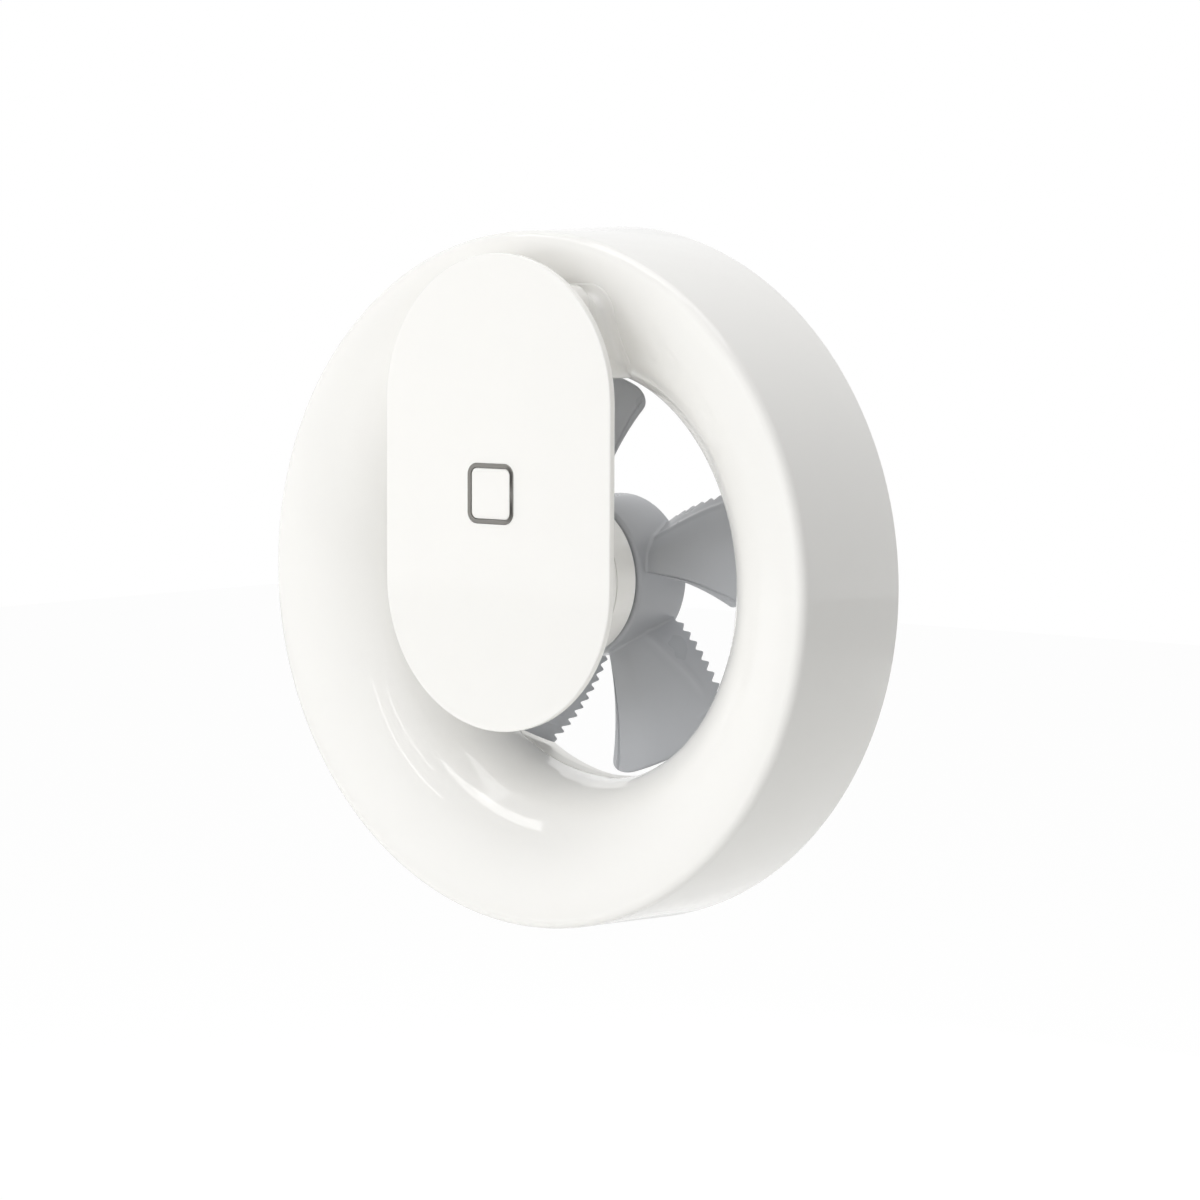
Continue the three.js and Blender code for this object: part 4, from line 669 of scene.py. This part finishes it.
def control_housing():
    inner, outer = BARREL_RADIUS - BARREL_WALL, BARREL_RADIUS + BARREL_FOOT
    root = TRAY_BACK - 0.2 * MM
    barrel = softened([
        (outer, root, 0), (outer, TRAY_BACK, 0),
        (BARREL_RADIUS, TRAY_BACK, BARREL_FILLET), (BARREL_RADIUS, BARREL_SEAM, 0.25 * MM),
        (inner, BARREL_SEAM, 0), (inner, root, 0)], steps=8)
    grids = [tray(), neck(), turned(barrel, 128)]
    socket_floor = TRAY_FLOOR + 0.2 * MM
    for place in POST_PLACES:
        socket = softened([(SOCKET_BORE, TRAY_FRONT, 0.2 * MM), (SOCKET_RADIUS, TRAY_FRONT, 0.3 * MM),
                           (SOCKET_RADIUS, socket_floor, 0), (SOCKET_BORE, socket_floor, 0)])
        grids.append(turned(socket, 40, place))
    piece("housing_shell", grids, "housing", moulded_abs_gloss, ["control_housing"])


def motor_rear_cap():
    """The closed back of the barrel, with a shallow lip that centres it behind the seam."""
    lip = BARREL_RADIUS - BARREL_WALL - FIT
    profile = softened([
        (SHAFT_HOLE, CAP_BACK, 0.2 * MM), (BARREL_RADIUS, CAP_BACK, 1.0 * MM),
        (BARREL_RADIUS, CAP_FRONT, 0.25 * MM), (lip, CAP_FRONT, 0),
        (lip, CAP_FRONT - CAP_LIP_DEPTH, 0), (lip - BARREL_WALL, CAP_FRONT - CAP_LIP_DEPTH, 0),
        (lip - BARREL_WALL, CAP_BACK - BARREL_WALL, 0), (SHAFT_HOLE, CAP_BACK - BARREL_WALL, 0)])
    piece("barrel_cap", [turned(profile, 128)], "housing", moulded_abs_gloss, ["motor_rear_cap"])


# ---- impeller -------------------------------------------------------------------------------------


def blade(number):
    """One blade as a grid: rows run from inside the hub to the tip, columns round the section.

    A point's share of the chord and its radius give the middle surface: the angle runs straight
    from the leading to the trailing edge, and the depth follows a low power of the share, plus a
    straight flap behind a soft crease, whose place is a quadratic in the radius. The section's half
    thickness is a round thin nose, a flat body and a tapered tail, plus a low rib along the crease
    and a short one near the tip. Near the hub it grows by a quarter circle's profile, the fillet.
    """
    root = HUB_RADIUS - 0.9 * MM
    fillet_rows = HUB_RADIUS + ROOT_FILLET * (1 - np.cos(np.radians(np.linspace(0, 90, 9))))
    half_pitch = SERRATION_PITCH / 2
    half_pitches = 2 * SERRATION_COUNT - 1
    rows = half_pitches * ROWS_PER_HALF_TOOTH + 1
    toothed = SERRATION_FIRST + half_pitch * np.linspace(0, half_pitches, rows)
    tip_rows = BLADE_TIP - TIP_ROUND * (1 - np.sin(np.radians(np.linspace(0, 90, 7))))
    nominal = np.concatenate([[root], fillet_rows, toothed, tip_rows])[:, None]

    turn = np.linspace(0, 2 * np.pi, 181)[None, :]
    share = (1 - np.cos(turn)) / 2
    side = np.where(np.sin(turn) >= 0, 1.0, -1.0)

    # the saw teeth: 1 at a notch, 0 at a tooth, slightly rounded at both
    phase = (nominal - SERRATION_FIRST) / half_pitch
    zigzag = np.where(phase < 0, 1, 1 - np.abs((phase + 1) % 2 - 1))
    zigzag = np.where(phase > half_pitches, 0, zigzag)
    notch = 0.25 * zigzag + 0.75 * (0.5 - 0.5 * np.cos(np.pi * zigzag))
    end = 1 - SERRATION_SHARE * notch
    chord = TAIL_START + (share - TAIL_START) / (1 - TAIL_START) * (end - TAIL_START)
    chord = np.where(share < TAIL_START, share, chord)

    near = np.clip(1 - chord / TIP_CORNER_SHARE, 0, 1)
    tip = BLADE_TIP - TIP_CORNER_DROP * (1 - np.sqrt(1 - near * near))
    radius = root + (nominal - root) / (BLADE_TIP - root) * (tip - root)
    out = (radius - HUB_RADIUS) / (BLADE_TIP - HUB_RADIUS)
    leading = LEADING_ANGLES[0] + (LEADING_ANGLES[1] - LEADING_ANGLES[0]) * out
    trailing = TRAILING_ANGLES[0] + (TRAILING_ANGLES[1] - TRAILING_ANGLES[0]) * out
    angle = np.radians(leading + (trailing - leading) * chord)
    crease = CREASE[0] + CREASE[1] * out + CREASE[2] * out ** 2
    behind = CREASE_SOFTNESS * np.logaddexp(0, (chord - crease) / CREASE_SOFTNESS) / (1 - crease)
    flap = FLAP_SHARE * np.clip(1 - out, 0, 1)
    rise = np.minimum((1 - flap) * chord ** CAMBER_POWER + flap * behind, 1)
    depth = BLADE_FRONT + (BLADE_BACK - BLADE_FRONT) * rise

    # across the section, square to the middle line in the plane of arc length and depth
    along = np.gradient(radius * angle, axis=1) * side
    down = np.gradient(depth, axis=1) * side
    length = np.maximum(np.hypot(along, down), 1e-12)
    across = np.stack([-down / length, along / length])
    nose = np.sqrt(1 - np.clip(1 - chord / 0.02, 0, 1) ** 2)
    nose = nose * (0.22 + 0.78 * np.clip(chord / 0.35, 0, 1))
    taper = 1 - 0.45 * np.clip((chord - 0.3) / 0.7, 0, 1)
    closing = np.sqrt(1 - np.clip((share - 0.985) / 0.015, 0, 1) ** 2)
    at_tip = np.sqrt(1 - np.clip((nominal - (BLADE_TIP - TIP_ROUND)) / TIP_ROUND, 0, 1) ** 2)
    distance = np.clip(nominal - HUB_RADIUS, 0, ROOT_FILLET)
    fillet = ROOT_FILLET - np.sqrt(ROOT_FILLET ** 2 - (ROOT_FILLET - distance) ** 2)
    from_crease = (chord - crease) * radius * np.radians(trailing - leading)
    ribs = CREASE_RIB * np.exp(-(from_crease / CREASE_RIB_WIDTH) ** 2)
    ribs = ribs * np.clip((0.72 - out) / 0.1, 0, 1)
    along_rib = np.clip((chord - 0.78) / 0.04, 0, 1) * np.clip((0.94 - chord) / 0.03, 0, 1)
    ribs = ribs + TIP_RIB * np.exp(-((radius - TIP_RIB_RADIUS) / TIP_RIB_WIDTH) ** 2) * along_rib
    half = BLADE_THICKNESS / 2 * nose * taper * closing * at_tip + fillet + ribs
    sheer = side * half
    arc_length = radius * angle + across[0] * sheer
    depth = depth + across[1] * sheer

    turned_angle = arc_length / radius + np.radians(-360 / BLADE_COUNT * number)
    return np.stack([radius * np.cos(turned_angle), depth, radius * np.sin(turned_angle)], axis=-1)


def impeller():
    web_back = HUB_FRONT + HUB_WALL
    boss_back = web_back + HUB_BOSS_LENGTH
    hole = BUSH_RADIUS + FIT
    inner = HUB_RADIUS - HUB_WALL
    hub = softened([
        (hole, HUB_FRONT, 0.2 * MM), (HUB_RADIUS, HUB_FRONT, 1.4 * MM),
        (HUB_RADIUS, HUB_BACK, 0.4 * MM), (inner, HUB_BACK, 0.4 * MM), (inner, web_back, 1.0 * MM),
        (HUB_BOSS_RADIUS, web_back, 1.0 * MM), (HUB_BOSS_RADIUS, boss_back, 0.4 * MM),
        (hole, boss_back, 0.2 * MM)], steps=8)
    grids = [turned(hub, 160)] + [blade(number) for number in range(BLADE_COUNT)]
    piece("impeller_wheel", grids, "impeller_unit", moulded_polypropylene, ["impeller"], sharp=50)


# ---- cover plate, frame and button ----------------------------------------------------------------


def crown(xz):
    """How far the cover's faces stand forward of the rim: the crown less its square fall-off.

    The fall-off is the distance from the plate's middle line as a share of its half width, squared.
    """
    beyond = np.maximum(np.abs(xz[:, 1] - COVER_CENTRE_Z) - COVER_STRAIGHT, 0)
    share = np.hypot(xz[:, 0], beyond) / COVER_HALF_WIDTH
    return COVER_CROWN * (1 - np.minimum(share, 1) ** 2)


def evened(loop, like):
    """A loop's points moved along it to the same shares of its length as those of another loop."""
    def shares(points):
        steps = np.linalg.norm(np.diff(points, axis=0), axis=1)
        return np.concatenate([[0], np.cumsum(steps)]) / steps.sum()
    place, wanted = shares(loop), shares(like)
    return np.stack([np.interp(wanted, place, loop[:, k]) for k in (0, 1)], axis=-1)


def cover_plate():
    """The stadium plate as loops: hole wall, front face, rim and back face, crowned all over."""
    hole = rounded_square(FRAME_HALF + INLAY_GAP, FRAME_CORNER + INLAY_GAP, COVER_CENTRE_Z, 20, 24)

    def inset(distance):
        return evened(stadium(COVER_HALF_WIDTH - distance, COVER_STRAIGHT, COVER_CENTRE_Z, 128), hole)

    front, back = COVER_RIM_FRONT, COVER_RIM_FRONT + COVER_THICKNESS
    loops = [(hole, back - crown(hole)), (hole, front - crown(hole))]
    inner_rim = inset(COVER_FRONT_EDGE)
    for share in np.linspace(0, 1, 49)[1:-1]:
        loop = hole + (inner_rim - hole) * share
        loops.append((loop, front - crown(loop)))
    for turn in np.radians(np.linspace(0, 90, 8)):
        loop = inset(COVER_FRONT_EDGE * (1 - np.sin(turn)))
        loops.append((loop, front - crown(loop) + COVER_FRONT_EDGE * (1 - np.cos(turn))))
    for turn in np.radians(np.linspace(0, 90, 6)):
        loop = inset(COVER_BACK_EDGE * (1 - np.cos(turn)))
        loops.append((loop, back - crown(loop) - COVER_BACK_EDGE * (1 - np.sin(turn))))
    back_rim = inset(COVER_BACK_EDGE)
    for share in np.linspace(1, 0, 25)[1:]:
        loop = hole + (back_rim - hole) * share
        loops.append((loop, back - crown(loop)))
    grids = [lofted(loops)]
    for place in POST_PLACES:
        top = front - crown(np.array([place]))[0] + POST_SEAT
        post = softened([(0, top, 0), (POST_RADIUS, top, 0),
                         (POST_RADIUS, POST_END, 0.5 * MM), (0, POST_END, 0)])
        grids.append(turned(post, 40, place))
    piece("cover_shell", grids, "cover", moulded_abs_gloss, ["cover_plate"], sharp=50)


def button_frame():
    """The bright line: a rounded band round the button, its section a flat bar with round edges."""
    back = COVER_RIM_FRONT - COVER_CROWN + COVER_THICKNESS
    front = -FRAME_PROUD
    flat = FRAME_BEVEL + 0.03 * MM
    section = softened([(0, front, FRAME_BEVEL), (flat, front, 0), (FRAME_LINE - flat, front, 0),
                        (FRAME_LINE, front, FRAME_BEVEL), (FRAME_LINE, 1.5 * MM, 0),
                        (0, 1.5 * MM, 0)], steps=6)
    loops = []
    for inset, depth in section:
        loop = rounded_square(FRAME_HALF - inset, FRAME_CORNER - inset, COVER_CENTRE_Z, 20, 8)
        depths = np.minimum(COVER_RIM_FRONT - crown(loop) + depth, back)
        loops.append((loop, np.maximum(depths, frame_low[1])))
    piece("bright_frame", [lofted(loops)], "cover", chrome_plate, ["button_frame"])


def push_button():
    """The square key: a crowned front with round edges, a flange behind the plate, and a stem."""
    half = FRAME_HALF - FRAME_LINE - INLAY_GAP
    corner = FRAME_CORNER - FRAME_LINE - INLAY_GAP
    edge = KEY_EDGE
    flange_back = COVER_RIM_FRONT - COVER_CROWN + COVER_THICKNESS + FIT + FLANGE_THICKNESS
    flange_front = flange_back - FLANGE_THICKNESS

    def square(half_size, radius):
        return rounded_square(half_size, radius, COVER_CENTRE_Z, 12, 12)

    rim = square(half - edge, corner - edge)
    middle = np.array([0, COVER_CENTRE_Z])
    loops = []
    for share in np.linspace(0, 1, 9):
        loop = middle + (rim - middle) * share
        loops.append((loop, COVER_RIM_FRONT - crown(loop)))
    for turn in np.radians(np.linspace(0, 90, 6))[1:]:
        drawn_in = edge * (1 - np.sin(turn))
        loop = square(half - drawn_in, corner - drawn_in)
        loops.append((loop, COVER_RIM_FRONT - crown(loop) + edge * (1 - np.cos(turn))))
    loops.append((square(half, corner), flange_front))
    flange = square(FLANGE_HALF, FRAME_CORNER)
    centre = np.broadcast_to(middle, flange.shape)
    loops += [(flange, flange_front), (flange, flange_back), (centre, flange_back)]
    stem = np.array([[0, flange_front], [STEM_RADIUS, flange_front],
                     [STEM_RADIUS, button_high[1]], [0, button_high[1]]])
    grids = [lofted(loops), turned(stem, 32, (0, COVER_CENTRE_Z))]
    piece("square_key", grids, "button", moulded_abs_gloss, ["push_button"])


# ---- nodes whose shape is right -------------------------------------------------------------------

finishes = (moulded_abs_gloss, moulded_abs_satin, moulded_polypropylene, chrome_plate, zinc_plated_steel,
            turned_brass, enamelled_copper, electrical_steel, sintered_ferrite, solder_mask, black_epoxy,
            epdm_rubber, closed_cell_foam, shrink_sleeve, moulded_nylon)
kept = {finish["slot"]: finish for finish in finishes}


def dress_kept_nodes():
    """Gives every node of the frame its finish, with its triangles welded and its edges eased."""
    slots = {entry["node"]: entry["material_slot"] for entry in frame["record"]["subparts"]}
    for name, node in frame["nodes"].items():
        node.data.materials.clear()
        node.data.materials.append(kept[slots[name]]["material"])
        seams = node.modifiers.new("seams", "WELD")
        seams.merge_threshold = 1e-6
        ease = node.modifiers.new("eased edges", "BEVEL")
        ease.width, ease.segments, ease.limit_method = 0.12 * MM, 2, "ANGLE"
        ease.angle_limit = np.radians(40)


# ---- stage, lights and camera ---------------------------------------------------------------------


def clear_rays(tree):
    """The Light Path node, and a socket that is 1 for camera and transmission rays."""
    ray = add(tree, "ShaderNodeLightPath")
    either = {0: ray.outputs["Is Camera Ray"], 1: ray.outputs["Is Transmission Ray"]}
    return ray, add(tree, "ShaderNodeMath", either, operation="MAXIMUM").outputs[0]


# the floor: its height, and how much of its white the camera and the gloss see
FLOOR_Z = -0.45
FLOOR_SEEN, FLOOR_IN_GLOSS, FLOOR_WHITE = 0.92, 0.5, 1.05


def stage():
    """A pale floor well below the fan, white to the camera except for the fan's shadow."""
    bpy.ops.mesh.primitive_plane_add(size=8, location=(0, 0, FLOOR_Z))
    floor = bpy.context.object
    floor.name = "floor"
    material = bpy.data.materials.new("pale floor")
    material.use_nodes = True
    tree = material.node_tree
    tree.nodes.clear()
    ray, clear = clear_rays(tree)
    seen = add(tree, "ShaderNodeMath", {0: clear, 1: FLOOR_SEEN}, operation="MULTIPLY").outputs[0]
    shares = {0: ray.outputs["Is Glossy Ray"], 1: FLOOR_IN_GLOSS, 2: seen}
    white_share = add(tree, "ShaderNodeMath", shares, operation="MULTIPLY_ADD").outputs[0]
    pale = add(tree, "ShaderNodeBsdfDiffuse", {"Color": colour("#f2f2f0")}).outputs[0]
    white = add(tree, "ShaderNodeEmission", {"Strength": FLOOR_WHITE}).outputs[0]
    both = add(tree, "ShaderNodeMixShader", {0: white_share, 1: pale, 2: white})
    add(tree, "ShaderNodeOutputMaterial", {"Surface": both.outputs[0]})
    floor.data.materials.append(material)


# softboxes: name, watts, width and height, azimuth and elevation as seen from the fan, distance
LAMPS = (
    ("front softbox", 8.5, (1.1, 1.1), (-8, 6), 1.6),
    ("front right softbox", 4.3, (1.0, 1.0), (25, 25), 1.6),
    ("front left softbox", 3.9, (1.0, 0.5), (-45, -5), 1.5),
    ("right softbox", 0.9, (1.0, 1.0), (75, 8), 1.6),
    ("top back softbox", 8.5, (1.2, 1.0), (180, 60), 1.5),
    ("back softbox", 13.0, (1.2, 0.5), (180, -9), 1.5),
    ("back left softbox", 1.8, (1.0, 0.5), (-152, -4), 1.5),
)
# the one softbox that the gloss shows as well, for the lip's highlight
OVERHEAD = ("overhead softbox", 6.3, (1.2, 1.0), (0, 82), 1.4)
# strips that only the gloss shows, for the streaks in the bell mouth: the same, and the direction of
# their long side
STRIPS = (
    ("ceiling strip", 2.1, (1.15, 0.2), (-37.4, 56.0), 1.44, (-0.89, 0.125, 0)),
    ("slanted tube", 0.24, (0.8, 0.03), (-0.6, 30.6), 1.28, (-0.52, 0, 0.31)),
    ("upper slanted tube", 0.2, (0.70, 0.03), (10.5, 38.8), 1.42, (-0.49, 0, 0.39)),
)

ROOM_LIGHT = 0.23  # the world's strength for everything but what is seen in it


def lamp(name, power, size, direction, distance, along=None):
    """A rectangular softbox that faces the fan from an azimuth and elevation in degrees."""
    azimuth, elevation = np.radians(direction)
    out = Vector((np.sin(azimuth) * np.cos(elevation), -np.cos(azimuth) * np.cos(elevation),
                  np.sin(elevation)))
    side = Vector(along or (np.cos(azimuth), np.sin(azimuth), 0))
    side = (side - out * side.dot(out)).normalized()
    light = bpy.data.lights.new(name, "AREA")
    light.shape, light.size, light.size_y, light.energy = "RECTANGLE", size[0], size[1], power
    softbox = bpy.data.objects.new(name, light)
    bpy.context.scene.collection.objects.link(softbox)
    facing = Matrix((side, out.cross(side), out)).transposed().to_4x4()
    softbox.matrix_world = Matrix.Translation(Vector((0, -0.03, 0)) + out * distance) @ facing
    softbox.visible_camera = False
    return softbox


def lights():
    for settings in LAMPS:
        lamp(*settings).visible_glossy = False
    lamp(*OVERHEAD)
    for settings in STRIPS:
        lamp(*settings).visible_diffuse = False
    world = bpy.data.worlds.new("studio")
    world.use_nodes = True
    tree = world.node_tree
    tree.nodes.clear()
    ray, clear = clear_rays(tree)
    glossy = ray.outputs["Is Glossy Ray"]
    seen = add(tree, "ShaderNodeMath", {0: clear, 1: glossy}, operation="MAXIMUM").outputs[0]
    room = add(tree, "ShaderNodeBackground", {"Color": (1, 1, 1, 1), "Strength": ROOM_LIGHT}).outputs[0]
    white = add(tree, "ShaderNodeBackground", {"Color": (1, 1, 1, 1), "Strength": 1.0}).outputs[0]
    both = add(tree, "ShaderNodeMixShader", {0: seen, 1: room, 2: white})
    add(tree, "ShaderNodeOutputWorld", {"Surface": both.outputs[0]})
    bpy.context.scene.world = world


# dark cards that only mirrors see, off to the left: azimuth, distance, brightness, how far they reach
# across, and their top and bottom
CARD_DIRECTION, CARD_DISTANCE, CARD_GLOW = -38.9, 1.2, 0.12
CARD_SIDES = (-8 * MM, 24 * MM)
CARD_HEIGHTS = ((-39.1 * MM, -26.4 * MM), (-57.5 * MM, -46.5 * MM))


def dark_cards():
    """Two small cards that put the dark run with its light gap into the bright frame's right side."""
    material = bpy.data.materials.new("grey card")
    material.use_nodes = True
    tree = material.node_tree
    tree.nodes.clear()
    glow = add(tree, "ShaderNodeEmission", {"Color": (1, 1, 1, 1), "Strength": CARD_GLOW})
    add(tree, "ShaderNodeOutputMaterial", {"Surface": glow.outputs[0]})
    azimuth = np.radians(CARD_DIRECTION)
    middle = np.array([0, cover_low[1], 0])
    out = middle + np.array([np.sin(azimuth), -np.cos(azimuth), 0]) * CARD_DISTANCE
    across = np.array([np.cos(azimuth), np.sin(azimuth), 0])
    for number, (low, high) in enumerate(CARD_HEIGHTS):
        corners = [out + across * side + np.array([0, 0, height])
                   for side, height in ((CARD_SIDES[0], low), (CARD_SIDES[1], low),
                                        (CARD_SIDES[1], high), (CARD_SIDES[0], high))]
        mesh = bpy.data.meshes.new(f"card_{number}")
        mesh.from_pydata([tuple(corner) for corner in corners], [], [(0, 1, 2, 3)])
        mesh.materials.append(material)
        card = bpy.data.objects.new(f"card_{number}", mesh)
        bpy.context.scene.collection.objects.link(card)
        card.visible_camera = card.visible_diffuse = False
        card.visible_shadow = card.visible_transmission = False


# the photograph's viewpoint: azimuth, elevation and roll in degrees, distance from the fan's middle,
# how far aside and above it the camera is, and the focal length for a 36 mm sensor
CAMERA_TURN = (39.909, 4.821, 0.185)
CAMERA_DISTANCE, CAMERA_ASIDE, CAMERA_ABOVE = 1.14313, -0.005065, -0.007868
FOCAL_LENGTH = 116.20


def camera():
    azimuth, elevation, roll = np.radians(CAMERA_TURN)
    back = np.array([np.sin(azimuth) * np.cos(elevation), -np.cos(azimuth) * np.cos(elevation),
                     np.sin(elevation)])
    level = np.array([np.cos(azimuth), np.sin(azimuth), 0.0])
    up = np.cross(back, level)
    right = np.cos(roll) * level + np.sin(roll) * up
    upward = np.cos(roll) * up - np.sin(roll) * level
    place = back * CAMERA_DISTANCE + right * CAMERA_ASIDE + upward * CAMERA_ABOVE
    lens = bpy.data.cameras.new("camera")
    lens.sensor_width = 36.0
    lens.lens = FOCAL_LENGTH
    lens.clip_start, lens.clip_end = 0.05, 20
    viewer = bpy.data.objects.new("camera", lens)
    bpy.context.scene.collection.objects.link(viewer)
    turn = Matrix(np.stack([right, upward, back], axis=-1).tolist()).to_4x4()
    viewer.matrix_world = Matrix.Translation(place) @ turn
    bpy.context.scene.camera = viewer


# ---- the scene ------------------------------------------------------------------------------------

camera()
lights()
dark_cards()
stage()
dress_kept_nodes()
outer_ring()
wall_plate()
cross_head_screws("ring_screw", 4)
control_housing()
motor_rear_cap()
impeller()
cover_plate()
button_frame()
push_button()

bpy.context.scene.view_settings.view_transform = "Standard"
